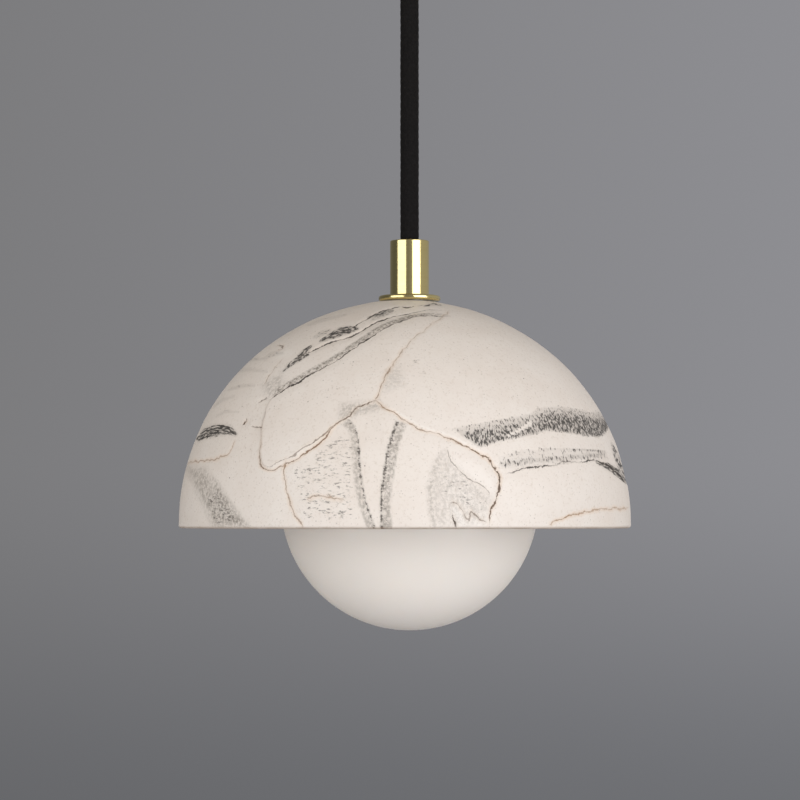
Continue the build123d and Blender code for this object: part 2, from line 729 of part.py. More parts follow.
def build():
    os.makedirs("parts", exist_ok=True)
    save("ceiling_bracket", ceiling_bracket())
    save("bracket_earth_screw", bracket_earth_screw())
    save("rose_side_screws", Compound(children=rose_side_screws()))
    save("terminal_block", terminal_block())
    save("terminal_sleeves", Compound(children=terminal_sleeves()))
    save("terminal_screws", Compound(children=terminal_screws()))
    save("terminal_fixing_screws", Compound(children=terminal_fixing_screws()))
    save("rose_wire_live", rose_core(0))
    save("rose_wire_earth", rose_core(1))
    save("rose_wire_neutral", rose_core(2))

    save("rose_cup", rose_cup())
    save("rose_gland", rose_gland())
    save("gland_cap", gland_cap())
    save("gland_washer", ring(washer_diameter, thread_diameter + 2 * fixed_gap, rose_floor, rose_washer_top))
    save("gland_nut", nut(nut_flats, thread_diameter + 2 * thread_gap, rose_washer_top, rose_nut_top))
    save("gland_grub_screw", grub_screw(cord_radius + fixed_gap, gland_radius - fixed_gap, gland_screw_height()))
    save("cord_upper_end", rod(cord_diameter, pivot + cord_radius + running_gap, cord_upper_top))

    save("cord_bush", cord_bush())
    save("cord", cord())

    save("cord_grip", cord_grip())
    grub_start = cord_radius + running_gap
    save("grip_screw", grub_screw(grub_start, grip_diameter / 2 - fixed_gap, grip_screw_height()))
    save("flange", flange())
    save("top_gasket", ring(top_gasket_diameter, thread_diameter + 2 * fixed_gap, dome_top, flange_bottom))
    save("threaded_tube", ring(thread_diameter, tube_bore, tube_bottom, tube_top))
    save("ceramic_dome", ceramic_dome())
    tube_hole = thread_diameter + 2 * fixed_gap
    save("lower_gasket", ring(washer_diameter, tube_hole, lower_gasket_bottom, dome_pad))
    save("steel_washer", ring(washer_diameter, tube_hole, washer_bottom, lower_gasket_bottom))
    save("lock_nut", nut(nut_flats, thread_diameter + 2 * thread_gap, gallery_top, washer_bottom))

    save("globe_gallery", globe_gallery())
    save("earth_tag", earth_tag())
    save("holder_stirrup", holder_stirrup())
    save("gallery_nut", nut(nut_flats, thread_diameter + 2 * thread_gap, gallery_nut_bottom, stirrup_bottom))
    save("lampholder", lampholder())
    save("holder_screws", Compound(children=holder_screws()))
    save("holder_contacts", Compound(children=holder_contacts()))
    live, neutral, earth = head_cores()
    save("head_wire_live", live)
    save("head_wire_neutral", neutral)
    save("head_wire_earth", earth)

    save("globe_seal", ring(2 * neck_radius, 2 * neck_bore, neck_top, shoulder_bottom))
    save("glass_globe", glass_globe())

    save("lamp_base", lamp_base())
    save("lamp_pins", Compound(children=lamp_pins()))
    save("lamp_envelope", lamp_envelope())
    save("lamp_board", lamp_board())


build()
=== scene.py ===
import math

import bmesh
import bpy
import numpy as np
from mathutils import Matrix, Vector
from mathutils import noise as maths_noise


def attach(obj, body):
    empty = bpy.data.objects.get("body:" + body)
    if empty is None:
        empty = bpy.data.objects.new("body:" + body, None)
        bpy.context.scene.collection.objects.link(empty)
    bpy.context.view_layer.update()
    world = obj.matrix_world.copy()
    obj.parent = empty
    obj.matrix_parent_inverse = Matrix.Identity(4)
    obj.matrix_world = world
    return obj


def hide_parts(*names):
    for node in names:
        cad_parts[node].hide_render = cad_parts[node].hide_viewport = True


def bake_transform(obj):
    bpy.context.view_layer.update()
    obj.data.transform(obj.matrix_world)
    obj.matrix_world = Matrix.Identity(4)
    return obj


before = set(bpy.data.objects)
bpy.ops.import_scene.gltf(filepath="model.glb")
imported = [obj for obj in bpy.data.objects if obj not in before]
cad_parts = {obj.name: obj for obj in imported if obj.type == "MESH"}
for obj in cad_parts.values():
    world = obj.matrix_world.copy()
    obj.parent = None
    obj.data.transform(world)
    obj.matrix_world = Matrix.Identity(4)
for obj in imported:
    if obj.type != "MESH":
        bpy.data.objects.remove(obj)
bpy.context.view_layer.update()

scene = bpy.context.scene

# Camera: almost level with the light, a metre in front of it and a little
# below its middle, with a long lens.
eye = Vector((-0.00373, -1.054, -0.25205))
eye_tilt = math.radians(2.47)
lens = 122.1
sensor = 36.0
frame_pixels = 800
camera_data = bpy.data.cameras.new("camera")
camera_data.lens = lens
camera_data.sensor_width = sensor
camera = bpy.data.objects.new("camera", camera_data)
camera.location = eye
camera.rotation_euler = (math.radians(90) + eye_tilt, 0, 0)
scene.collection.objects.link(camera)
scene.camera = camera


# Free cord: three insulated cores under a black woven cotton braid, 7.3 mm
# across. It is held in the ball bush above and in the brass grip below.
cord_radius = 0.00365
cord_route = [(0, 0, -0.03885), (0, 0, -0.0977), (0, 0, -0.1565)]
carriers = 16
braid_pitch = 0.024
braid_relief = 0.00013
core_lay = 0.075
core_relief = 0.00005


def feed(tree, node, feeds):
    """Values and links given to a node's inputs by name or number."""
    for name, value in feeds.items():
        if isinstance(value, bpy.types.NodeSocket):
            tree.links.new(value, node.inputs[name])
        else:
            node.inputs[name].default_value = value


def add(tree, kind, feeds=None, **settings):
    """A shader node with its settings, values and links."""
    node = tree.nodes.new("ShaderNode" + kind)
    for name, value in settings.items():
        setattr(node, name, value)
    feed(tree, node, feeds or {})
    return node


def finish_of(name, colour, roughness, metallic=0.0):
    """A new material, its node tree and its shader."""
    material = bpy.data.materials.new(name)
    material.use_nodes = True
    tree = material.node_tree
    shader = tree.nodes["Principled BSDF"]
    feed(tree, shader, {"Base Color": (*colour, 1), "Roughness": roughness, "Metallic": metallic})
    material.diffuse_color = (*colour, 1)
    return material, tree, shader


def own_place(tree, stretch=(1, 1, 1), turn=(0, 0, 0)):
    """The piece's own coordinates, stretched or turned."""
    place = add(tree, "TexCoord").outputs["Object"]
    return add(tree, "Mapping", {"Vector": place, "Scale": stretch, "Rotation": turn}).outputs["Vector"]


def spread(tree, value, low, high, to_low=0.0, to_high=1.0, smooth=False):
    """A value mapped from one span to another and held inside it."""
    style = "SMOOTHSTEP" if smooth else "LINEAR"
    feeds = {"Value": value, "From Min": low, "From Max": high, "To Min": to_low, "To Max": to_high}
    return add(tree, "MapRange", feeds, interpolation_type=style).outputs["Result"]


def sums(tree, operation, first, second=0.0, third=0.0):
    """One step of arithmetic."""
    return add(tree, "Math", {0: first, 1: second, 2: third}, operation=operation).outputs[0]


def blended(tree, factor, first, second):
    """Two colours mixed by a factor."""
    node = add(tree, "Mix", {0: factor}, data_type="RGBA")
    for place, colour in ((6, first), (7, second)):
        feed(tree, node, {place: (*colour, 1) if isinstance(colour, tuple) else colour})
    return node.outputs[2]


def grain(tree, vector, scale, detail=3.0, roughness=0.5):
    """Plain noise over a vector."""
    feeds = {"Vector": vector, "Scale": scale, "Detail": detail, "Roughness": roughness}
    return add(tree, "TexNoise", feeds).outputs["Fac"]


def bump(tree, shader, height, depth, strength=1.0):
    """Fine relief on a shader, its depth in metres."""
    node = add(tree, "Bump", {"Height": height, "Distance": depth, "Strength": strength})
    feed(tree, shader, {"Normal": node.outputs["Normal"]})


def textile(name, thread):
    """Black cotton braid: its threads run along the carriers, which cross each other."""
    material, tree, shader = finish_of(name, thread, 0.85)
    uneven = grain(tree, own_place(tree), 900, 4)
    strands = grain(tree, own_place(tree, (9000, 9000, 2500)), 1, 2)
    lit = tuple(2.4 * part for part in thread)
    colour = blended(tree, spread(tree, uneven, 0.3, 0.75), thread, lit)
    colour = blended(tree, spread(tree, strands, 0.35, 0.8, 0, 0.6), colour, lit)
    feed(tree, shader, {"Base Color": colour, "Sheen Weight": 0.02, "Sheen Roughness": 0.5})
    feed(tree, shader, {"Specular IOR Level": 0.11})
    bump(tree, shader, strands, 0.00006, 0.6)
    return material


def tube_line(name, points):
    """The points of a smooth line through a route, with an even step."""
    data = bpy.data.curves.new(name, "CURVE")
    data.dimensions = "3D"
    spline = data.splines.new("NURBS")
    spline.points.add(len(points) - 1)
    for control, place in zip(spline.points, points):
        control.co = (*place, 1)
    spline.order_u = 3
    spline.use_endpoint_u = True
    spline.resolution_u = 60
    line = bpy.data.objects.new(name, data)
    mesh = bpy.data.meshes.new_from_object(line)
    places = [vertex.co.copy() for vertex in mesh.vertices]
    bpy.data.objects.remove(line)
    return places


def mesh_of(name, shape, material=None):
    """A shape as a mesh of its own, smooth and finished where it has a material."""
    data = bpy.data.meshes.new(name)
    shape.to_mesh(data)
    shape.free()
    if material:
        data.shade_smooth()
        data.materials.append(material)
    return data


def shown(name, shape, material, body, slot, *nodes):
    """A finished shape as a piece that rides on a body and stands for CAD nodes."""
    piece = bpy.data.objects.new(name, mesh_of(name, shape, material))
    scene.collection.objects.link(piece)
    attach(piece, body)
    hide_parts(*nodes)
    return piece


def around_line(line, columns, rows, radius_at):
    """A grid wrapped round a line into a tube whose ends are closed."""
    tube = bmesh.new()
    bmesh.ops.create_grid(tube, x_segments=columns, y_segments=rows, size=1, calc_uvs=True)
    total = len(line) - 1
    for vertex in tube.verts:
        turn = math.pi * (vertex.co.x + 1)
        share = (1 - vertex.co.y) / 2 * total
        step = min(int(share), total - 1)
        centre = line[step].lerp(line[step + 1], share - step)
        ahead = (line[min(step + 2, total)] - line[max(step - 1, 0)]).normalized()
        side = ahead.cross(Vector((0, 1, 0) if abs(ahead.y) < 0.9 else (1, 0, 0))).normalized()
        up = side.cross(ahead)
        radius = radius_at(turn, share / total)
        vertex.co = centre + radius * (math.cos(turn) * side + math.sin(turn) * up)
    bmesh.ops.remove_doubles(tube, verts=tube.verts, dist=1e-7)
    ends = [edge for edge in tube.edges if edge.is_boundary]
    bmesh.ops.holes_fill(tube, edges=ends, sides=0)
    bmesh.ops.recalc_face_normals(tube, faces=tube.faces)
    return tube


def braid_radius(turn, share):
    """The braid's surface: carriers that pass over and under, on three laid cores."""
    z = share * cord_length
    right = carriers * (turn / math.tau + z / braid_pitch)
    left = carriers * (turn / math.tau - z / braid_pitch)
    over = (math.floor(right / 2) + math.floor(left / 2)) % 2
    crown = abs(math.sin(math.pi * (right if over else left) / 2))
    lobes = 0.5 + 0.5 * math.cos(3 * (turn - math.tau * z / core_lay))
    return cord_radius - braid_relief * (1 - crown) - core_relief * (1 - lobes)


cord_line = tube_line("cord_line", cord_route)
cord_length = sum((b - a).length for a, b in zip(cord_line, cord_line[1:]))
black_braid = textile("black_braid", (0.0036, 0.0033, 0.0035))
braided_cord = shown(
    "braided_cord", around_line(cord_line, 128, 420, braid_radius), black_braid, "cord", "black_braid", "cord"
)


# Ceiling bracket: a pressed and zinc-plated steel strap with two turned-down
# ears. Two screws through its slots hold it to the ceiling.
def dress(material, *nodes):
    """A material on every slot of some CAD nodes."""
    for name in nodes:
        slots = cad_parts[name].data.materials
        for place in range(len(slots)):
            slots[place] = material


def worked_metal(name, dark, light, roughness, stretch, depth, patches=60):
    """Metal with fine marks of its working, and patches a little duller than the rest."""
    material, tree, shader = finish_of(name, light, roughness, 1.0)
    marks = grain(tree, own_place(tree, stretch), 1, 4, 0.65)
    wear = grain(tree, own_place(tree), patches, 5, 0.6)
    mix = sums(tree, "ADD", spread(tree, marks, 0.3, 0.7, 0, 0.5), spread(tree, wear, 0.35, 0.7, 0, 0.5))
    dulled = spread(tree, wear, 0.3, 0.7, 1.25 * roughness, 0.8 * roughness)
    feed(tree, shader, {"Base Color": blended(tree, mix, dark, light), "Roughness": dulled})
    bump(tree, shader, marks, depth, 0.5)
    return material


zinc_steel = worked_metal(
    "zinc_steel", (0.50, 0.51, 0.53), (0.66, 0.67, 0.68), 0.34, (150, 2400, 2400), 0.00001, 90
)
dress(zinc_steel, "ceiling_bracket", "bracket_earth_screw", "terminal_fixing_screws")
dress(zinc_steel, "steel_washer", "holder_screws")


# Side screws of the rose: turned brass with a straight knurl that fingers
# can hold. They go through the cup's slots into the bracket's ears.
knurl_teeth = 32
knurl_depth = 0.00022
side_screw_height = -0.009
head_start = 0.0503
head_length = 0.0045
head_radius = 0.004


def spun(profile, steps, closed=False):
    """A profile of (radius, height) places turned about the hanging axis."""
    shape = bmesh.new()
    places = [shape.verts.new((radius, 0, height)) for radius, height in profile]
    edges = [shape.edges.new(pair) for pair in zip(places, places[1:])]
    if closed:
        edges.append(shape.edges.new((places[-1], places[0])))
    bmesh.ops.spin(
        shape, geom=places + edges, cent=(0, 0, 0), axis=(0, 0, 1), dvec=(0, 0, 0),
        angle=math.tau, steps=steps, use_merge=True, use_duplicate=False,
    )
    bmesh.ops.remove_doubles(shape, verts=shape.verts, dist=1e-7)
    bmesh.ops.recalc_face_normals(shape, faces=shape.faces)
    return shape


def side_screw(side):
    """One knurled screw, turned upright and then laid along X."""
    shank_start = -0.0075
    edge = 0.0005
    profile = [
        (0, shank_start), (0.0016, shank_start), (0.0020, shank_start + 0.0004), (0.0020, -0.0003),
        (0.0020, 0),
        (head_radius - edge, 0), (head_radius, edge), (head_radius, 0.0012), (head_radius, 0.0022),
        (head_radius, head_length - 0.0011), (head_radius - edge, head_length - 0.0006),
        (head_radius - 2.2 * edge, head_length), (0.0012, head_length), (0, head_length),
    ]
    screw = spun(profile, 2 * knurl_teeth)
    for vertex in screw.verts:
        radius = math.hypot(vertex.co.x, vertex.co.y)
        if radius > head_radius - 0.0002:
            step = round(math.atan2(vertex.co.y, vertex.co.x) / math.tau * 2 * knurl_teeth)
            if step % 2:
                vertex.co.xy *= 1 - knurl_depth / radius
        along = vertex.co.z + head_start
        vertex.co = Vector((side * along, vertex.co.y, side_screw_height + vertex.co.x))
    bmesh.ops.recalc_face_normals(screw, faces=screw.faces)
    return screw


brass_small = worked_metal(
    "brass_small", (0.60, 0.45, 0.20), (0.80, 0.65, 0.34), 0.26, (900, 900, 900), 0.000006, 140
)
side_pair = bmesh.new()
for side in (-1, 1):
    side_pair.from_mesh(mesh_of("side_screw", side_screw(side)))
knurled_screws = shown(
    "knurled_screws", side_pair, brass_small, "ceiling", "brass_small", "rose_side_screws"
)
knurled_screws.data.set_sharp_from_angle(angle=math.radians(28))


# Terminal block: a moulded cream body with three brass sleeves, each with
# two clamping screws. Two long screws hold it to the strap.
def moulded(name, colour, roughness, clear=0.0):
    """Moulded plastic or rubber, or in part clear: a fine pored skin and slight flow marks."""
    material, tree, shader = finish_of(name, colour, roughness)
    flow = grain(tree, own_place(tree, (1, 1, 0.4)), 55, 4)
    skin = grain(tree, own_place(tree), 900, 2)
    darker = tuple(0.9 * part for part in colour)
    shade = blended(tree, spread(tree, flow, 0.3, 0.7), darker, colour)
    dulled = spread(tree, flow, 0.3, 0.7, 0.85 * roughness, 1.1 * roughness)
    feed(tree, shader, {"Base Color": shade, "Roughness": dulled, "Transmission Weight": clear})
    bump(tree, shader, skin, 0.00002, 0.4)
    return material


block_plastic = moulded("block_plastic", (0.80, 0.78, 0.70), 0.45)
dress(block_plastic, "terminal_block")
dress(brass_small, "terminal_sleeves", "terminal_screws")


# The cord's three cores inside the rose, in brown, blue and striped green:
# soft silicone over stranded copper.
core_radius = 0.001
core_turn = -0.0146
core_side = -0.0146
block_side = -0.005
block_low = -0.006
wire_tops = {
    "live": ((-0.0013856, 0.0008), -0.011),
    "earth": ((0, -0.0016), 0),
    "neutral": ((0.0013856, 0.0008), 0.011),
}


def silicone_core(name, colour, stripe=None):
    """A core's insulation, smooth and a little dusty, with a second colour along it or none."""
    material, tree, shader = finish_of(name, colour, 0.42)
    dust = grain(tree, own_place(tree), 420, 3)
    base = blended(tree, spread(tree, dust, 0.35, 0.75, 0, 0.12), colour, (0.8, 0.8, 0.78))
    if stripe:
        bands = add(tree, "TexWave", {"Vector": own_place(tree, (1, 1, 0.35), (0.5, 0, 0)), "Scale": 160.0,
                                      "Distortion": 0.4, "Detail": 1.0}, wave_type="BANDS").outputs["Fac"]
        base = blended(tree, spread(tree, bands, 0.46, 0.54), base, stripe)
    feed(tree, shader, {"Base Color": base})
    bump(tree, shader, dust, 0.00001, 0.3)
    return material


core_finish = {
    "live": silicone_core("live_core", (0.20, 0.085, 0.035)),
    "neutral": silicone_core("neutral_core", (0.03, 0.16, 0.50)),
    "earth": silicone_core("earth_core", (0.10, 0.34, 0.06), (0.72, 0.62, 0.04)),
}
for pole, ((start_x, start_y), end_x) in wire_tops.items():
    route = [
        (start_x, start_y, -0.0195),
        (start_x, start_y, core_turn),
        (end_x, core_side, core_turn),
        (end_x, core_side, block_low),
        (end_x, block_side, block_low),
    ]
    line = tube_line("rose_line_" + pole, route)
    tube = around_line(line, 16, 90, lambda turn, share: core_radius)
    data = mesh_of("rose_core_" + pole, tube, core_finish[pole])
    core_piece = bpy.data.objects.new("rose_core_" + pole, data)
    scene.collection.objects.link(core_piece)
    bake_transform(core_piece)
    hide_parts("rose_wire_" + pole)


# Rose: a spun brass cup, polished and lacquered, with its threaded gland, the
# washer and nut that hold it, the screwed cap, and the cord held in it.
satin_brass = worked_metal(
    "satin_brass", (0.64, 0.50, 0.20), (0.86, 0.71, 0.33), 0.24, (40, 40, 4200), 0.000007, 45
)
dress(satin_brass, "rose_cup", "rose_gland", "gland_cap")
black_steel = worked_metal(
    "black_steel", (0.035, 0.035, 0.037), (0.085, 0.085, 0.09), 0.4, (700, 700, 700), 0.00001
)
dress(zinc_steel, "gland_washer", "gland_nut")
dress(black_steel, "gland_grub_screw", "grip_screw")
dress(black_braid, "cord_upper_end")


# Cord bush: a turned nylon ball ring in the gland's cap, round the cord's end,
# in which the whole light swings and turns.
nylon = moulded("nylon", (0.045, 0.045, 0.048), 0.5)
dress(nylon, "cord_bush")


# Cord grip and flange: turned from brass bar and polished by hand, with the
# finest turning marks left on them. A grub screw at the back holds the cord.
polished_brass = worked_metal(
    "polished_brass", (0.72, 0.60, 0.27), (0.88, 0.76, 0.39), 0.13, (30, 30, 5200), 0.000005, 70
)
dress(polished_brass, "cord_grip", "flange")


# Silicone washers: a clear one between flange and ceramic, and a white one
# under the ceramic, so that metal never bears on it.
clear_silicone = moulded("clear_silicone", (0.55, 0.53, 0.49), 0.3, clear=0.5)
dress(clear_silicone, "top_gasket")
white_silicone = moulded("white_silicone", (0.80, 0.79, 0.76), 0.55)
dress(white_silicone, "lower_gasket")


# Ceramic dome: slabs of cream clay with charcoal ground into them, laid over a
# mould and pressed together. Their joins show as lips, cracks and dark veins,
# and the whole was fired once and rubbed to a dull satin.
dome_middle = Vector((-0.0019, 0, -0.25385))
dome_half = 0.0875
dome_crown = 0.086
dome_wall = 0.0055
dome_flat = -0.1686
dome_rim = -0.25635
rim_round = 0.0013
pad_height = -0.17475
pad_radius = 0.013
hole_radius = 0.0055
dome_steps = 500
front_share = 0.35
millimetre = 0.001
edge_reach = 8


def dome_profile():
    """The wall's section, from the hole over the crown, round the rim and back inside."""
    flat_start = math.acos((dome_flat - dome_middle.z) / dome_crown)
    inner_half = dome_half - dome_wall
    inner_crown = dome_crown - dome_wall
    pad_start = math.asin(pad_radius / inner_half)
    section = [(hole_radius, dome_flat), (0.0085, dome_flat)]
    for step in range(151):
        angle = flat_start + (math.pi / 2 - flat_start) * step / 150
        section.append((dome_half * math.sin(angle), dome_middle.z + dome_crown * math.cos(angle)))
    for step in range(5):
        angle = math.pi / 2 * step / 4
        across = dome_half - rim_round * (1 - math.cos(angle))
        section.append((across, dome_rim + rim_round * (1 - math.sin(angle))))
    for step in range(5):
        angle = math.pi / 2 * step / 4
        across = inner_half + rim_round * (1 - math.sin(angle))
        section.append((across, dome_rim + rim_round * (1 - math.cos(angle))))
    for step in range(25):
        angle = math.pi / 2 + (pad_start - math.pi / 2) * step / 24
        section.append((inner_half * math.sin(angle), dome_middle.z + inner_crown * math.cos(angle)))
    section += [(pad_radius, pad_height), (hole_radius, pad_height)]
    return section


def eased(value, low, high):
    """Nought below one bound, one above the other, and a smooth rise between."""
    share = np.clip((value - low) / (high - low), 0, 1)
    return share * share * (3 - 2 * share)


def between(value, start, full, fading, gone):
    """Nought outside two bounds and one well within them, with a smooth rise and fall."""
    return eased(value, start, full) * (1 - eased(value, fading, gone))


def noise_over(places, *waves):
    """Smooth noise at some places, in waves that each have a size and a strength."""
    return np.array([
        sum(strength * maths_noise.noise(Vector(place) * size) for size, strength in waves)
        for place in places
    ])


def on_dome(across, down):
    """The place on the dome's outside that the camera sees at a point of the picture."""
    focal = lens / sensor * frame_pixels
    right, up = (across - frame_pixels / 2) / focal, (frame_pixels / 2 - down) / focal
    level, tilt = math.cos(eye_tilt), math.sin(eye_tilt)
    ray = Vector((right, level - up * tilt, tilt + up * level))
    sizes = (dome_half, dome_half, dome_crown)
    squash = Vector(1 / size for size in sizes)
    start = (eye - dome_middle) * squash
    run = ray * squash
    half_b = start.dot(run)
    root = half_b * half_b - run.dot(run) * (start.dot(start) - 1)
    place = start + run * ((-half_b - math.sqrt(max(root, 0))) / run.dot(run))
    if place.z < 0:
        flat_start, flat_run = start.xy, run.xy
        half_b = flat_start.dot(flat_run)
        root = half_b * half_b - flat_run.dot(flat_run) * (flat_start.dot(flat_start) - 1)
        place = start + run * ((-half_b - math.sqrt(max(root, 0))) / flat_run.dot(flat_run))
    return dome_middle + Vector(part * size for part, size in zip(place, sizes))


def drawn(points):
    """A line drawn over the picture, softened at its corners and laid on the dome."""
    for _ in range(2):
        softer = [points[0]]
        for (ax, ay), (bx, by) in zip(points, points[1:]):
            for share in (0.25, 0.75):
                softer.append(((1 - share) * ax + share * bx, (1 - share) * ay + share * by))
        points = softer + [points[-1]]
    return np.array([on_dome(across, down)[:] for across, down in points])


def from_line(line, reach=4.5):
    """Signed millimetres from the dome's places to a line, and their share along it."""
    margin = reach * millimetre
    signed, along = beside(line, laid, laid_normals, margin)
    return signed / millimetre, along


def beside(line, all_places, all_facing, margin):
    """Signed distance of places from a line, up to a margin, and their share along it."""
    held = (all_places > line.min(0) - margin) & (all_places < line.max(0) + margin)
    close = np.flatnonzero(held.all(1))
    places = all_places[close]
    facing = all_facing[close]
    nearest = np.full(len(places), margin)
    side = np.ones(len(places))
    share_along = np.zeros(len(places))
    for step in range(len(line) - 1):
        run = line[step + 1] - line[step]
        length = run @ run
        if length < 1e-12:
            continue
        offset = places - line[step]
        share = np.clip(offset @ run / length, 0, 1)
        gap = offset - share[:, None] * run
        distance = np.sqrt((gap * gap).sum(1))
        closer = distance < nearest
        nearest[closer] = distance[closer]
        side[closer] = np.sign((np.cross(run, facing[closer]) * gap[closer]).sum(1) + 1e-18)
        share_along[closer] = (step + share[closer]) / (len(line) - 1)
    signed = np.full(len(all_places), float(margin))
    along = np.zeros(len(all_places))
    signed[close] = nearest * side
    along[close] = share_along
    return signed, along


def inside_of(picture, outline):
    """Which points of the picture lie inside an outline."""
    held = np.zeros(len(picture), bool)
    for (ax, ay), (bx, by) in zip(outline, outline[1:] + outline[:1]):
        if ay == by:
            continue
        crosses = (ay > picture[:, 1]) != (by > picture[:, 1])
        held ^= crosses & (picture[:, 0] < ax + (picture[:, 1] - ay) / (by - ay) * (bx - ax))
    return held


dome_data = mesh_of("marbled_dome", spun(dome_profile(), dome_steps, closed=True))
flat_places = np.empty(3 * len(dome_data.vertices), np.float32)
dome_data.vertices.foreach_get("co", flat_places)
body = flat_places.reshape(-1, 3).astype(float)
away = np.hypot(body[:, 0], body[:, 1])
turn = np.arctan2(body[:, 0], -body[:, 1])
turn = turn - front_share * np.sin(turn)
above = body[:, 2] - dome_middle.z
fullness = np.hypot(away / dome_half, np.maximum(above, 0) / dome_crown)
outer = eased(fullness, 0.97, 0.99)
shift = np.where(outer > 0, eased(away, 0.0085, 0.0112), eased(away, 0.0132, 0.0165))
body[:, 0] = away * np.sin(turn) + dome_middle.x * shift
body[:, 1] = -away * np.cos(turn)
normals = np.stack([
    away * np.sin(turn) / dome_half,
    -away * np.cos(turn) / dome_half,
    np.maximum(above, 0) / dome_crown * dome_half / dome_crown,
], 1)
normals /= np.linalg.norm(normals, axis=1)[:, None] + 1e-9

# The pattern is laid on the front as the picture shows it. It runs on past both
# sides and fades out there, and the back has its own from the same drawing,
# turned round, stretched and lowered.
run_on = math.radians(26)
behind = np.abs(turn) - math.pi / 2
past_side = np.clip(behind, 0, None)
folded = np.sign(turn) * (math.pi / 2 - 0.3 * behind)
turned = 0.88 * (turn - math.pi * np.sign(turn)) + 0.12
drawn_turn = np.where(behind > run_on, turned, np.where(behind > 0, folded, turn))
lowered = np.where(behind > run_on, 0.009, 0.014 * past_side * np.sign(turn))
ragged = 1 + noise_over(body, (90, 1.1))
kept = 1 - eased(past_side * ragged, 0.05 * run_on, 0.8 * run_on)
kept *= 1 - eased(behind, 0.7 * run_on, run_on)
kept += eased(past_side * ragged, run_on, 2.2 * run_on) * eased(behind, run_on, 1.2 * run_on)
drawn_above = np.minimum(above + lowered * eased(above, 0, 0.03), dome_crown * 0.999)
ring = dome_half * np.sqrt(1 - np.clip(drawn_above / dome_crown, 0, 1) ** 2)
laid_x, laid_y = ring * np.sin(drawn_turn), -ring * np.cos(drawn_turn)
laid = np.stack([dome_middle.x + laid_x, laid_y, dome_middle.z + drawn_above], 1)
laid_normals = np.stack([laid_x, laid_y, np.maximum(drawn_above, 0)], 1)
laid_normals /= np.linalg.norm(laid_normals, axis=1)[:, None] + 1e-9
offset = laid - np.array(eye)
depth = offset[:, 1] * math.cos(eye_tilt) + offset[:, 2] * math.sin(eye_tilt)
rise = offset[:, 2] * math.cos(eye_tilt) - offset[:, 1] * math.sin(eye_tilt)
focal = lens / sensor * frame_pixels
picture = frame_pixels / 2 + focal * np.stack([offset[:, 0] / depth, -rise / depth], 1)
wobble = noise_over(laid, (230, 0.75), (610, 0.5))


def spaced(along, values):
    """Values that stand evenly along a line, read at some shares of it."""
    return np.interp(along, np.linspace(0, 1, len(values)), values)


def crack_layer(*lines):
    """Signed distance, strength and tone for lines that lie well apart."""
    far_off = 9.0
    signed = np.full(len(laid), far_off)
    strength = np.zeros(len(laid))
    tone = np.zeros(len(laid))
    for points, weights, shades in lines:
        distance, along = from_line(drawn(points))
        distance = distance + wobble
        closer = np.abs(distance) < np.abs(signed)
        tips = between(along, 0, 0.06, 0.9, 1) * 0.75 + 0.25
        weight = spaced(along, weights) * tips * (1 - eased(np.abs(distance), 1.6, 3.2))
        signed[closer] = distance[closer]
        strength[closer] = weight[closer]
        tone[closer] = spaced(along, shades)[closer]
    return signed, strength, tone


def region(outline, soft):
    """How surely places lie inside an outline, with an edge that fades over some millimetres."""
    line = np.array([on_dome(across, down)[:] for across, down in outline + outline[:1]])
    distance = from_line(line, edge_reach)[0]
    inward = np.where(inside_of(picture, outline), 1, -1) * np.abs(distance)
    return np.clip(0.5 + inward / soft, 0, 1)


def streak(points, half_width, soft):
    """A soft-edged stripe along a drawn line, and the distance from its middle."""
    distance, along = from_line(drawn(points))
    share = 1 - eased(np.abs(distance), half_width - soft / 2, half_width + soft / 2)
    return share * eased(along, 0, 0.05), distance


def strongest(fields, patches):
    """The greatest of some fields and patches: an outline, a strength and the width of its edge."""
    return np.maximum.reduce(fields + [weight * region(outline, soft) for outline, weight, soft in patches])


# Lines of the pattern, drawn over the picture in pixels from its top left. Each
# has its strength along it and its tone, from black at nought to ochre at one.
slab_edge = [
    (375.1, 400.5), (362, 404.2), (353, 410.8), (345.8, 417.4), (335.5, 424.7), (328.2, 430.5), (312, 442.3),
    (298, 451.5), (285.6, 459.2), (274, 465), (265, 466), (259.5, 461), (260, 446.7), (260.7, 436),
    (261, 428), (264, 411), (271, 398),
]
slab_weights = (0.65, 0.6, 0.55, 0.55, 0.5, 0.45, 0.45, 0.36, 0.4, 0.25, 0.1, 0.1, 0.12, 0.2, 0.3, 0.25, 0.5)
lip_foot = [
    (340, 422), (332, 429), (321, 439.5), (306, 452.5), (294, 459), (286.5, 462.5), (284, 465.5),
    (276, 468.5), (268, 470.5), (262, 467), (257.5, 462), (259, 446), (261, 433),
]
lip_weights = (0.3, 0.5, 0.6, 0.65, 0.55, 0.6, 0.4, 0.45, 0.65, 0.55, 0.4, 0.4, 0.3)
right_crack = [
    (375.6, 400.2), (388, 409), (400, 416.9), (406, 420), (419, 428), (434, 433.1), (446, 436.1),
    (456, 440.5), (465, 445.7), (480, 453.1), (489.5, 458.3), (496.2, 468.6), (500.6, 476), (501.3, 483.4),
    (497.6, 491), (494.7, 504), (490, 516), (489, 527),
]
right_weights = (0.45, 0.5, 0.5, 0.4, 0.4, 0.35, 0.4, 0.5, 0.55, 0.8, 0.9, 1.1, 1.4, 1.4, 0.6, 0.8, 0.6, 0.3)
band_foot = [
    (271, 398), (286, 388), (311, 374), (336, 360), (361, 343), (386, 326), (407, 319), (416, 316),
    (434, 315), (444, 316),
]
upper_line = [
    (294, 360), (303, 353.5), (310.5, 351.3), (320.8, 345.5), (334, 340.3), (348.7, 337.4), (356, 332.3),
    (367.8, 326.4), (381, 319), (396, 315.4), (410, 313.2), (425, 309), (448, 310),
]
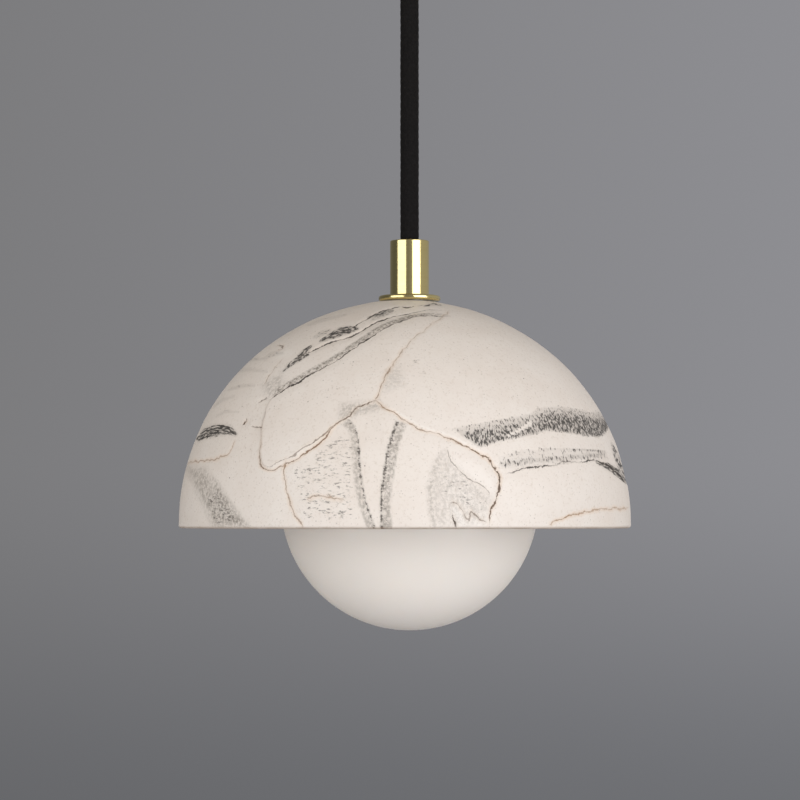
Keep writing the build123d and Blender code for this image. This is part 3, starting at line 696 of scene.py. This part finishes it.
crown_line = [(352, 327), (356, 324.2), (363, 320), (369, 317.6), (375, 312.5), (385.4, 308.8), (400, 306)]
fork = [(375.6, 399), (381, 388), (386, 373), (400, 353), (413, 338), (433, 323), (450, 310)]
left_crack = [(187, 462), (203, 460), (218, 458), (229, 453), (233, 440)]
centre_crack = [(285, 463), (282.5, 472), (283, 480), (286.5, 495), (291, 507), (297, 518), (302, 527)]
ochre_crack = [(549, 525), (562, 519), (582, 512), (607, 509), (629, 508)]
band_two_foot = [
    (508, 473), (530, 467), (545, 466), (556, 465), (566, 460.5), (578, 463), (588, 461), (594, 459),
    (606, 463), (616, 470), (627, 483),
]
zigzag = [
    (451, 503), (455, 503.4), (458, 504.4), (461.5, 510), (463.5, 511.6), (466.6, 517.5), (468, 519.6),
    (468.7, 518.6), (470.2, 514), (471.2, 512.6), (472.4, 514), (476, 516), (479, 519), (483, 520.4),
    (487, 524),
]
patch_edge = [(447, 449), (450, 461), (459, 470), (471, 480), (483, 487), (489, 495)]
layers = {
    "slab_join": crack_layer((slab_edge, slab_weights, (0.3,))),
    "lip_line": crack_layer((lip_foot, lip_weights, (0.6,))),
    "crack_one": crack_layer(
        (right_crack, right_weights, (0.8, 0.75, 0.7, 0.7, 0.6, 0.5, 0.25, 0.25, 0.35, 0.35)),
        (left_crack, (0.25, 0.4, 0.35, 0.25), (0.85,)),
        ([(250, 426), (255, 426), (261, 427.6)], (0.15, 0.4, 0.6), (0.2,)),
        ([(257, 403), (262, 399), (268, 397)], (0.2, 0.5, 0.2), (0.1,)),
    ),
    "crack_two": crack_layer(
        (centre_crack, (0.6, 0.4, 0.35, 0.4, 0.35, 0.5), (0.75,)),
        (fork, (0.5, 0.35, 0.42, 0.25, 0.2, 0.3), (0.7,)),
        (ochre_crack, (0.2, 0.5, 0.35, 0.3), (1.0,)),
        ([(244.4, 418), (243.4, 421), (242, 424.5)], (0.4, 1.2, 0.5), (0.2,)),
    ),
    "vein_one": crack_layer(
        (band_foot, (0.5, 0.8, 0.7, 0.6, 0.6, 0.5, 0.45, 0.6, 0.5), (0.0,)),
        (band_two_foot, (0.3, 0.5, 0.7, 0.2, 0.4, 0.1, 0.6, 0.5, 0.8, 0.7, 0.5), (0.0,)),
        ([(453, 515), (454, 520), (456, 527)], (0.5, 0.7, 0.4), (0.1,)),
    ),
    "vein_two": crack_layer(
        (upper_line, (0.2, 0.5, 1.0, 1.3, 1.3, 1.0, 1.2, 1.3, 0.9, 0.6, 0.5, 0.4, 0.4), (0.0,)),
        (zigzag, (0.4, 0.3, 0.4, 0.3), (0.3,)),
        ([(306, 500), (314, 496), (322, 495), (330, 498), (344, 500)], (0.2, 0.4, 0.25, 0.35, 0.2), (0.8,)),
        ([(264, 384), (268, 376), (276, 366), (284, 357)], (0.15, 0.3, 0.2, 0.1), (0.4,)),
    ),
    "vein_three": crack_layer(
        (crown_line, (0.4, 0.6, 0.7, 1.1, 1.2, 1.0, 0.8), (0.0,)),
        ([(403, 306), (408, 307.5), (412, 306), (424, 305)], (0.4, 1.2, 0.5, 0.4), (0.1,)),
        (patch_edge, (0.2, 0.3, 0.3, 0.35, 0.3, 0.2), (0.1,)),
        ([(276, 345), (283, 345), (282, 349), (276, 350)], (0.2, 0.45, 0.4, 0.2), (0.3,)),
    ),
}

# The two charcoal bands on the right: the first thickest at its foot and crossed
# by a bare slash, the second in three rows.
band_one_top = [
    (449, 428), (456, 426), (483, 421), (516, 415), (530, 412), (537, 407), (557, 405), (574, 407),
    (590, 411), (603, 411),
]
band_one_foot = [
    (610, 426), (606, 434), (599, 438), (583, 436), (566, 433), (545, 431), (538, 434), (520, 438),
    (499, 442), (480, 448),
]
top_distance, top_along = from_line(drawn(band_one_top), 12)
thickness = spaced(top_along, (0.16, 0.22, 0.20, 0.24, 0.22, 0.26, 0.34))
dark = region(band_one_top + band_one_foot, 2.0)
dark *= 0.42 + thickness * eased(np.abs(top_distance), 1.0, 6.0)
slash, slash_along = from_line(drawn([(508, 435.5), (520, 430), (531, 423)]))
slash_width = 0.25 + 0.75 * slash_along
dark *= 0.25 + 0.75 * eased(np.abs(slash), 0.5 * slash_width, 1.1 * slash_width)
band_two = region([
    (497, 457), (524, 449), (566, 447), (607, 449), (612, 462), (599, 462), (582, 462), (554, 466),
    (509, 472), (496, 468),
], 3.0)
rows = np.zeros(len(laid))
for points, shift, share in (
    (band_two_foot, 0.6, 1.0),
    ([(499, 456), (524, 449), (540, 447), (566, 447), (607, 450)], 0.0, 0.8),
    ([(503, 464), (524, 461), (552, 459), (575, 457), (604, 454)], 0.0, 0.6),
):
    distance = from_line(drawn(points))[0] - shift
    rows = np.maximum(rows, share * (1 - eased(np.abs(distance), 0.5, 1.3)))
dark = np.maximum(dark, band_two * (0.34 + 0.24 * rows))

# Flecks, grey dust, bare white clay and painted highlights, in two stripes, beside the lines and in patches
stripe_line_a = [(345, 421), (351, 427), (354.5, 436), (356, 461), (358, 483), (363.5, 507), (371, 527)]
stripe_line_b = [(402, 421), (397, 433), (391.5, 452), (389, 470), (386, 490), (384.8, 505), (386, 527)]
stripe_a, side_a = streak(stripe_line_a, 1.5, 1.0)
stripe_b, side_b = streak(stripe_line_b, 2.0, 0.7)
foot_side, foot_along = from_line(drawn(band_foot))
shade_band = between(foot_side, -3.4, -2.4, -0.3, 0.1) * eased(foot_along, 0, 0.1)
flecked = strongest([
    0.36 * band_two,
    np.minimum(1.5 * stripe_a * eased(-side_a, 0.3, 1.1), 0.74),
    np.minimum(1.6 * stripe_b * eased(side_b, 0.6, 1.7), 0.80),
    0.5 * np.maximum(shade_band, stripe_b),
], (
    ([(300, 508), (308, 507), (310, 515), (300, 515)], 0.8, 4.0),
    ([
        (492, 480), (520, 477), (566, 468), (560, 474), (520, 486), (510, 500), (500, 503), (494, 494),
    ], 0.40, 4.0),
    ([(398, 356), (432, 348), (436, 378), (402, 384)], 0.46, 6.0),
    ([(286, 468), (310, 452), (340, 428), (354, 434), (358, 460), (360, 524), (304, 524)], 0.56, 6.0),
    ([(214, 484), (224, 496), (236, 514), (246, 527), (214, 527), (204, 500)], 0.62, 4.0),
    ([
        (446, 462), (470, 478), (490, 498), (484, 520), (466, 516), (452, 500), (436, 500), (434, 470),
    ], 0.52, 5.0),
    ([(204, 392), (262, 352), (268, 372), (214, 412)], 0.36, 6.0),
    ([(341, 404), (378, 402), (372, 416), (345, 424)], 0.46, 4.0),
))
grey = strongest([
    0.42 * stripe_a,
    0.46 * stripe_b,
    0.60 * stripe_b * eased(side_b, 0.9, 1.8),
    0.58 * stripe_a * eased(-side_a, 0.6, 1.3),
    0.66 * shade_band * (1 - 0.6 * eased(foot_along, 0.75, 1)),
], (
    ([
        (183, 466), (205, 470), (220, 492), (233, 510), (247, 526), (214, 527), (203, 504), (192, 480),
    ], 0.46, 5.0),
    ([(212, 478), (220, 488), (233, 508), (248, 526), (232, 526), (216, 500)], 0.62, 3.0),
    ([
        (446, 449), (433, 464), (429, 487), (431, 512), (440, 528), (484, 524), (492, 498), (466, 474),
        (449, 458),
    ], 0.22, 3.0),
    ([
        (444, 449), (434, 462), (427, 487), (429, 512), (433, 528), (436, 528), (434, 490), (440, 464),
    ], 0.36, 2.0),
    ([(341, 404), (378, 401), (386, 408), (362, 412), (345, 421), (338, 424)], 0.36, 3.0),
    ([(262, 384), (280, 374), (284, 384), (268, 398)], 0.3, 4.0),
    ([(384, 372), (400, 366), (404, 384), (384, 392)], 0.22, 4.0),
))
# Painted highlight: a pale band along the upper side of the right crack, where its raised lip catches the
# light.
crack_side, crack_along = from_line(drawn(right_crack))
highlight_over_crack = between(crack_side, -1.5, -1.2, -0.4, -0.1) * between(crack_along, 0.06, 0.12, 0.5, 0.62)
# The slab's lip face, tinted pale as a painted highlight where the lip catches the light.
lip_face = [
    (336, 425), (326, 432), (312, 443), (298, 452), (286, 460), (274, 465.5), (264, 467), (268, 469.5),
    (284, 463.5), (294, 458), (306, 451.5), (321, 439), (334, 427),
]
# Pale tint: painted highlights on the slab's lip face and above the right crack, bare white clay in the
# zigzag and beside the patch, and a painted glint on the left shoulder.
pale_clay_and_highlights = strongest([0.95 * highlight_over_crack], (
    (lip_face, 0.75, 0.7),
    ([(453, 507), (458, 509), (468, 522), (472, 517), (484, 526), (455, 527)], 0.7, 1.2),
    ([(451, 459), (470, 462), (492, 476), (494, 492), (470, 476), (456, 466)], 0.5, 3.0),
    # A painted glint on the left shoulder.
    ([(276, 352), (290, 349), (296, 352), (286, 358), (274, 358)], 0.8, 3.0),
))

# Dark strokes: their middle lines, their half widths in pixels and how dark they are
stroke_spacing = 40
stroke_reach = 9.0
strokes = np.zeros((len(laid), 3))
flat_picture = np.column_stack([picture, np.zeros(len(picture))])
towards_eye = np.tile((0.0, 0.0, 1.0), (len(picture), 1))
for number, (points, half_widths, weight) in enumerate((
    ([(198, 439), (206, 433), (216, 430), (227, 429.5), (234, 433)], (3.0, 7.0, 7.5, 6.5, 3.0), 0.98),
    ([(283, 371), (292, 363), (301, 357), (308, 354)], (1.6, 3.0, 3.6, 1.8), 0.9),
    ([(298, 356), (304, 351), (311, 346)], (1.8, 3.0, 1.8), 0.95),
    ([(320, 341), (330, 336), (341, 331), (350, 329), (357, 328)], (1.6, 4.2, 5.5, 4.8, 2.4), 0.96),
    ([(314, 337), (322, 333), (330, 330)], (1.5, 3.4, 1.5), 0.66),
    ([(368, 317), (377, 314), (387, 311), (393, 310)], (1.6, 2.6, 2.4, 1.4), 0.86),
    ([(264, 358), (271, 354), (278, 353), (283, 353)], (1.2, 3.0, 2.6, 1.2), 0.62),
    ([(238, 362), (252, 359), (266, 359)], (1.4, 2.6, 1.4), 0.55),
    ([(232, 372), (248, 369), (266, 371)], (1.4, 2.6, 1.4), 0.5),
    ([(228, 390), (240, 386), (254, 385)], (1.2, 2.4, 1.2), 0.6),
    ([(214, 406), (222, 400), (234, 396)], (1.2, 2.0, 1.2), 0.52),
    ([(216, 416), (226, 411), (238, 412)], (1.0, 2.0, 1.0), 0.55),
    ([(308, 325), (322, 320), (346, 314)], (1.2, 2.4, 1.2), 0.5),
    ([(371, 320), (380, 316), (392, 312)], (1.2, 2.4, 1.2), 0.7),
    ([(424, 306), (434, 304), (441, 305)], (1.0, 1.8, 1.0), 0.8),
    ([(598, 462.5), (608, 465.5), (617, 471), (627, 482)], (1.8, 4.4, 5.2, 2.4), 0.98),
    ([(612, 442), (616, 452), (621, 465), (627, 480)], (1.0, 2.8, 3.4, 1.8), 0.84),
)):
    line = np.array([(across, down, 0) for across, down in points], float)
    across, along = beside(line, flat_picture, towards_eye, stroke_reach)
    half = spaced(along, half_widths)
    mask = weight * (1 - eased(np.abs(across), 0.55 * half, 1.15 * half))
    held = mask > strokes[:, 2]
    length = np.hypot(points[-1][0] - points[0][0], points[-1][1] - points[0][1])
    strokes[held] = np.stack([across + stroke_spacing * number, along * length, mask], 1)[held]

# Relief, in millimetres into the wall: the slab's lip, the cracks and their
# steps, the lumps of hand work and the step under the second band.
slab_side, slab_along = from_line(drawn(slab_edge), 27)
slab_side = slab_side + wobble
lip_width = np.interp(slab_along, (0, 0.2, 0.33, 0.6, 0.72, 1), (0.4, 0.5, 1.6, 1.6, 0.6, 0.5))
relief = 0.55 * between(-slab_side, -0.1, lip_width, 5, 26) * between(slab_along, 0, 0.08, 0.9, 1)
for name, groove, step_down in (
    ("crack_one", 0.45, 0.25),
    ("crack_two", 0.4, -0.2),
    ("vein_one", 0.3, 0.2),
    ("vein_two", 0.28, 0.15),
    ("vein_three", 0.25, 0),
):
    signed, strength = layers[name][:2]
    relief += groove * strength * np.exp(-(signed / 0.7) ** 2)
    relief += abs(step_down) * strength * eased(signed * np.sign(step_down or 1), 0, 0.8)
relief *= kept
relief += 0.16 * (noise_over(body, (38, 1), (110, 0.4)) + 1.1) + 0.06 * dark
foot_side, foot_along = from_line(drawn(band_two_foot), 17)
relief += 0.5 * between(-foot_side, 0, 2.0, 4, 16) * eased(foot_along, 0.6, 0.95)
relief *= outer * eased(away, 0.0125, 0.018) * eased(above, -0.0025, 0.0005)
body -= normals * relief[:, None] * millimetre
dome_data.vertices.foreach_set("co", body.astype(np.float32).ravel())
dome_data.update()


def keep_on_dome(name, values):
    """Values at all the dome's places, kept on its mesh for its clay to read."""
    kind, field = ("FLOAT", "value") if values.ndim == 1 else ("FLOAT_VECTOR", "vector")
    attribute = dome_data.attributes.new(name, kind, "POINT")
    attribute.data.foreach_set(field, values.astype(np.float32).ravel())


for name, (signed, strength, tone) in layers.items():
    keep_on_dome(name, np.stack([signed, strength * outer * kept, tone], 1))
strokes[:, 2] *= outer * kept
keep_on_dome("tints", np.stack([dark, grey, flecked], 1) * (outer * kept)[:, None])
keep_on_dome("strokes", strokes)
keep_on_dome("pale_clay_and_highlights", pale_clay_and_highlights * outer * kept)


def product(first, second):
    """Two values of the clay multiplied."""
    return sums(clay, "MULTIPLY", first, second)


def over_clay(factor, colour):
    """The clay's colour so far, with another laid over it by a factor."""
    return blended(clay, factor, clay_colour, colour)


def kept_parts(name):
    """The three values that the dome's mesh keeps under a name."""
    values = add(clay, "Attribute", attribute_name=name).outputs["Vector"]
    return add(clay, "SeparateXYZ", {"Vector": values}).outputs


def ground_in(share, noise, slope, start, low, high, fade):
    """Grains of noise over a limit that falls as their share grows."""
    limit = sums(clay, "MULTIPLY_ADD", share, slope, start)
    over = spread(clay, sums(clay, "SUBTRACT", noise, limit), low, high)
    return product(over, spread(clay, share, *fade))


marbled_clay, clay, clay_shader = finish_of("marbled_clay", (0.80, 0.74, 0.68), 0.46)
clay_place = own_place(clay)
broad = grain(clay, clay_place, 26, 4)
medium = grain(clay, clay_place, 130, 5, 0.6)
fine = grain(clay, clay_place, 900, 4, 0.65)
wander = grain(clay, clay_place, 700, 4, 0.7)
clay_colour = blended(clay, spread(clay, broad, 0.3, 0.7), (0.718, 0.658, 0.616), (0.758, 0.710, 0.680))
clay_colour = over_clay(spread(clay, medium, 0.35, 0.75, 0, 0.5), (0.788, 0.750, 0.722))
clay_colour = over_clay(spread(clay, fine, 0.54, 0.75, 0, 0.6), (0.565, 0.495, 0.435))

# White clay with painted highlights, grey dust, charcoal in slanted streaks over smoke, strokes and flecks
darkness, greyness, fleck_share = kept_parts("tints")
white_clay_and_highlight = add(clay, "Attribute", attribute_name="pale_clay_and_highlights").outputs["Fac"]
clay_colour = over_clay(product(white_clay_and_highlight, 0.6), (0.83, 0.80, 0.78))
dust = grain(clay, own_place(clay, (900, 900, 700)), 1, 5, 0.75)
clay_colour = over_clay(product(greyness, spread(clay, dust, 0.43, 0.57, 0.3, 1.55)), (0.265, 0.24, 0.215))
streaks = grain(clay, own_place(clay, (1500, 1500, 400), (0, math.radians(20), 0)), 1, 3, 0.6)
charcoal = ground_in(darkness, streaks, -0.50, 0.80, -0.045, 0.055, (0.02, 0.2))
clay_colour = over_clay(spread(clay, darkness, 0.25, 0.55, 0, 0.36), (0.26, 0.235, 0.215))
clay_colour = over_clay(product(charcoal, 0.93), (0.045, 0.041, 0.038))
across, along, share = kept_parts("strokes")
place = add(clay, "CombineXYZ", {"X": product(across, 0.72), "Y": product(along, 0.20)}).outputs["Vector"]
stroke_grain = grain(clay, place, 1, 3, 0.6)
stroke_mask = ground_in(share, stroke_grain, -0.42, 0.86, -0.05, 0.06, (0.05, 0.3))
clay_colour = over_clay(product(share, 0.4), (0.38, 0.35, 0.32))
stroke_depth = spread(clay, share, 0.3, 0.75, 0.35, 0.94)
clay_colour = over_clay(product(stroke_mask, stroke_depth), (0.035, 0.031, 0.028))
flecks = grain(clay, own_place(clay, (420, 420, 1300), (0, math.radians(24), 0)), 1, 4, 0.7)
fleck_mask = ground_in(fleck_share, flecks, -0.52, 0.865, -0.02, 0.05, (0.02, 0.15))
fleck_depth = spread(clay, fleck_share, 0.3, 0.75, 0.38, 0.9)
clay_colour = over_clay(product(fleck_mask, fleck_depth), (0.08, 0.07, 0.063))

# Cracks and veins: a dark or ochre line of uneven width, with a stain beside it
line_sum = None
worn = spread(clay, grain(clay, clay_place, 300, 4, 0.7), 0.38, 0.60, 0.3, 1.7)
for name in layers:
    distance, strength, tone = kept_parts(name)
    wavered = sums(clay, "ADD", distance, spread(clay, wander, 0.2, 0.8, -0.45, 0.45))
    reach = sums(clay, "ABSOLUTE", wavered)
    width = product(spread(clay, strength, 0.1, 1.4, 0.15, 0.50), worn)
    core = sums(clay, "SUBTRACT", 1.0, sums(clay, "DIVIDE", reach, width))
    core = product(spread(clay, core, 0.0, 0.6, 0, 0.97), spread(clay, strength, 0.0, 0.6, 0.0, 1.0))
    halo = product(spread(clay, reach, 0.2, 1.5, 0.55, 0, smooth=True), strength)
    halo = product(halo, sums(clay, "MULTIPLY_ADD", tone, 1.1, 0.1))
    clay_colour = over_clay(halo, (0.64, 0.42, 0.25))
    clay_colour = over_clay(core, blended(clay, tone, (0.030, 0.024, 0.020), (0.34, 0.20, 0.11)))
    line_sum = core if line_sum is None else sums(clay, "MAXIMUM", line_sum, core)

# Specks of three sizes: cells to a metre, the share with a speck, how dark it is
# and its radius as a share of a cell. Then the rim's edge, stained by handling.
speck_sizes = ((240, 0.10, 0.75, 0.08), (560, 0.26, 0.5, 0.15), (1000, 0.30, 0.3, 0.24))
for size, density, depth, radius in speck_sizes:
    cells = add(clay, "TexVoronoi", {"Vector": clay_place, "Scale": float(size)})
    chosen = add(clay, "SeparateColor", {"Color": cells.outputs["Color"]})
    dot = spread(clay, cells.outputs["Distance"], 0.5 * radius, radius, 1, 0)
    dot = product(dot, sums(clay, "LESS_THAN", chosen.outputs["Red"], density))
    clay_colour = over_clay(product(dot, depth), (0.14, 0.11, 0.09))
edge_height = add(clay, "SeparateXYZ", {"Vector": clay_place}).outputs["Z"]
edge = spread(clay, edge_height, dome_rim + 0.0002, dome_rim + 0.0011, 0.65, 0, smooth=True)
edge = product(edge, spread(clay, medium, 0.3, 0.6, 0.5, 1.0))
clay_colour = over_clay(edge, (0.36, 0.25, 0.17))
clay_gloss = spread(clay, medium, 0.3, 0.7, 0.54, 0.40)
feed(clay, clay_shader, {"Base Color": clay_colour, "Roughness": clay_gloss, "Specular IOR Level": 0.35})
sunk = product(sums(clay, "MAXIMUM", line_sum, product(charcoal, 0.25)), -1.4)
skin = sums(clay, "MULTIPLY_ADD", fine, 0.35, sums(clay, "MULTIPLY_ADD", medium, 0.6, sunk))
bump(clay, clay_shader, skin, 0.00022, 0.7)

dome_data.materials.append(marbled_clay)
dome_data.shade_smooth()
marbled_dome = bpy.data.objects.new("marbled_dome", dome_data)
scene.collection.objects.link(marbled_dome)
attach(marbled_dome, "head")
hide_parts("ceramic_dome")


# Threaded tube and its nuts: steel, zinc-plated. The tube holds the whole head
# together and the cores run down inside it.
def threaded_metal(name, dark, light, roughness, pitch):
    """Metal with a thread cut round the hanging axis."""
    material, tree, shader = finish_of(name, light, roughness, 1.0)
    place = add(tree, "SeparateXYZ", {"Vector": own_place(tree)})
    turn = sums(tree, "ARCTAN2", place.outputs["Y"], place.outputs["X"])
    climb = sums(tree, "MULTIPLY_ADD", turn, 1 / math.tau, sums(tree, "DIVIDE", place.outputs["Z"], pitch))
    flank = sums(tree, "PINGPONG", climb, 0.5)
    feed(tree, shader, {"Base Color": blended(tree, spread(tree, flank, 0, 0.35), dark, light)})
    bump(tree, shader, flank, 0.0007, 0.9)
    return material


threaded_steel = threaded_metal("threaded_steel", (0.30, 0.30, 0.31), (0.66, 0.67, 0.68), 0.3, 0.001)
dress(threaded_steel, "threaded_tube")
dress(zinc_steel, "lock_nut", "gallery_nut")


# Globe gallery: a pressed brass cup with a shoulder and a screwed skirt. The
# earth tag, the stirrup and a nut sit inside it on the tube.
gallery_brass = worked_metal(
    "gallery_brass", (0.56, 0.42, 0.18), (0.80, 0.66, 0.35), 0.3, (40, 40, 3000), 0.00001
)
dress(gallery_brass, "globe_gallery", "earth_tag")
spring_steel = worked_metal(
    "spring_steel", (0.52, 0.52, 0.50), (0.74, 0.74, 0.72), 0.25, (2600, 200, 2600), 0.000006
)
dress(spring_steel, "holder_stirrup", "holder_contacts", "lamp_pins")


# Lampholder: white steatite, pressed and fired, with a cavity for each spring
# contact. Two screws through the stirrup's legs hold it.
def fired(name, colour, roughness):
    """Fired white ceramic with a few dark grains in it."""
    material, tree, shader = finish_of(name, colour, roughness)
    cells = add(tree, "TexVoronoi", {"Vector": own_place(tree), "Scale": 1100.0}).outputs["Distance"]
    specks = spread(tree, cells, 0.05, 0.12, 0.55, 0)
    cloud = grain(tree, own_place(tree), 160, 4)
    body = blended(tree, cloud, tuple(0.93 * part for part in colour), colour)
    feed(tree, shader, {"Base Color": blended(tree, specks, body, (0.30, 0.27, 0.22))})
    bump(tree, shader, cloud, 0.00003, 0.4)
    return material


porcelain = fired("porcelain", (0.80, 0.79, 0.74), 0.28)
dress(porcelain, "lampholder")
for pole in ("live", "neutral", "earth"):
    dress(core_finish[pole], "head_wire_" + pole)


# Opal globe: blown in three layers and etched outside to a satin white, with
# a screwed neck that turns into the gallery against a silicone seal.
opal_glass, opal_tree, opal_shader = finish_of("opal_glass", (0.85, 0.80, 0.75), 0.4)
opal_cloud = grain(opal_tree, own_place(opal_tree), 22, 3)
opal_skin = grain(opal_tree, own_place(opal_tree), 1800, 2)
opal_colour = blended(opal_tree, opal_cloud, (0.943, 0.874, 0.823), (0.955, 0.901, 0.862))
feed(opal_tree, opal_shader, {
    "Base Color": opal_colour,
    "Roughness": spread(opal_tree, opal_cloud, 0.3, 0.7, 0.44, 0.36),
    "Subsurface Weight": 0.2,
    "Subsurface Radius": (1.0, 0.8, 0.65),
    "Subsurface Scale": 0.004,
})
bump(opal_tree, opal_shader, opal_skin, 0.000004, 0.3)
dress(opal_glass, "glass_globe")
dress(white_silicone, "globe_seal")


# Lamp: a small pin-base capsule with a white base, a frosted cover and a board
# that carries its chips in rows on both sides.
white_plastic = moulded("white_plastic", (0.80, 0.80, 0.77), 0.35)
dress(white_plastic, "lamp_base")
frosted_plastic = moulded("frosted_plastic", (0.85, 0.85, 0.82), 0.5, clear=0.6)
dress(frosted_plastic, "lamp_envelope")
chip_board, chip_tree, chip_shader = finish_of("chip_board", (0.85, 0.85, 0.84), 0.4)
chip_parts = add(chip_tree, "SeparateXYZ", {"Vector": own_place(chip_tree)})
across = sums(chip_tree, "PINGPONG", sums(chip_tree, "DIVIDE", chip_parts.outputs["X"], 0.003), 0.5)
down = sums(chip_tree, "PINGPONG", sums(chip_tree, "DIVIDE", chip_parts.outputs["Z"], 0.004), 0.5)
chips = sums(chip_tree, "MULTIPLY", spread(chip_tree, across, 0.2, 0.23), spread(chip_tree, down, 0.2, 0.23))
chip_colour = blended(chip_tree, chips, (0.85, 0.85, 0.84), (0.80, 0.62, 0.10))
feed(chip_tree, chip_shader, {"Base Color": chip_colour})
bump(chip_tree, chip_shader, chips, 0.0003, 0.8)
dress(chip_board, "lamp_board")


# Room: a soft grey surround, a pale floor below, and two large lit panels in
# front on the left and right, with a weak one behind for the back.
floor_height = -1.5
floor_radius = 4.0
panel_distance = 1.4
panels = (
    ("panel_left", -48, 1.38, 1.5, -0.06, 12.8, (1.0, 0.995, 0.98)),
    ("panel_right", 41.5, 1.24, 1.6, -0.06, 19.0, (1.0, 1.0, 1.0)),
    ("panel_back", 163, 1.6, 1.2, -0.20, 6.0, (1.0, 0.95, 0.88)),
)
for name, azimuth, width, height, level, power, tint in panels:
    light = bpy.data.lights.new(name, "AREA")
    light.shape = "RECTANGLE"
    light.size = width
    light.size_y = height
    light.energy = power
    light.color = tint
    panel = bpy.data.objects.new(name, light)
    turn = math.radians(azimuth)
    place = Vector((math.sin(turn) * panel_distance, -math.cos(turn) * panel_distance, level))
    panel.location = place
    panel.rotation_euler = (Vector((0, 0, level)) - place).to_track_quat("-Z", "Y").to_euler()
    panel.visible_camera = False
    panel.visible_glossy = name != "panel_back"
    scene.collection.objects.link(panel)

disc = bmesh.new()
bmesh.ops.create_circle(disc, cap_ends=True, segments=96, radius=floor_radius)
bmesh.ops.translate(disc, verts=disc.verts, vec=(0, 0, floor_height))
floor_finish = finish_of("floor", (0.60, 0.62, 0.67), 0.7)[0]
floor = bpy.data.objects.new("floor", mesh_of("floor", disc, floor_finish))
scene.collection.objects.link(floor)

world = bpy.data.worlds.new("room")
world.use_nodes = True
scene.world = world
room = world.node_tree
room.nodes.clear()
heading = add(room, "SeparateXYZ", {"Vector": add(room, "TexCoord").outputs["Generated"]})
sideways = spread(room, heading.outputs["X"], -0.16, 0.16)
upwards = spread(room, heading.outputs["Z"], -0.12, 0.03, smooth=True)
lower = blended(room, sideways, (0.132, 0.134, 0.142), (0.160, 0.164, 0.176))
upper = blended(room, sideways, (0.200, 0.199, 0.205), (0.272, 0.272, 0.290))
far_side = spread(room, heading.outputs["X"], 0.2, 1.0)
near_side = spread(room, heading.outputs["X"], -1.0, -0.2)
mirrored = blended(room, near_side, (0.105, 0.107, 0.108), blended(room, upwards, lower, upper))
mirrored = blended(room, far_side, mirrored, (0.40, 0.39, 0.38))
rays = add(room, "LightPath")
colours = blended(room, rays.outputs["Is Camera Ray"], mirrored, blended(room, upwards, lower, upper))
seen = add(room, "Background", {"Color": colours, "Strength": 1.0})
ambient = add(room, "Background", {"Color": (1.0, 0.885, 0.735, 1), "Strength": 0.30})
straight = sums(room, "MAXIMUM", rays.outputs["Is Camera Ray"], rays.outputs["Is Glossy Ray"])
straight = sums(room, "MAXIMUM", straight, rays.outputs["Is Transmission Ray"])
both = add(room, "MixShader", {0: straight, 1: ambient.outputs[0], 2: seen.outputs[0]})
add(room, "OutputWorld", {"Surface": both.outputs[0]})
scene.view_settings.view_transform = "Standard"
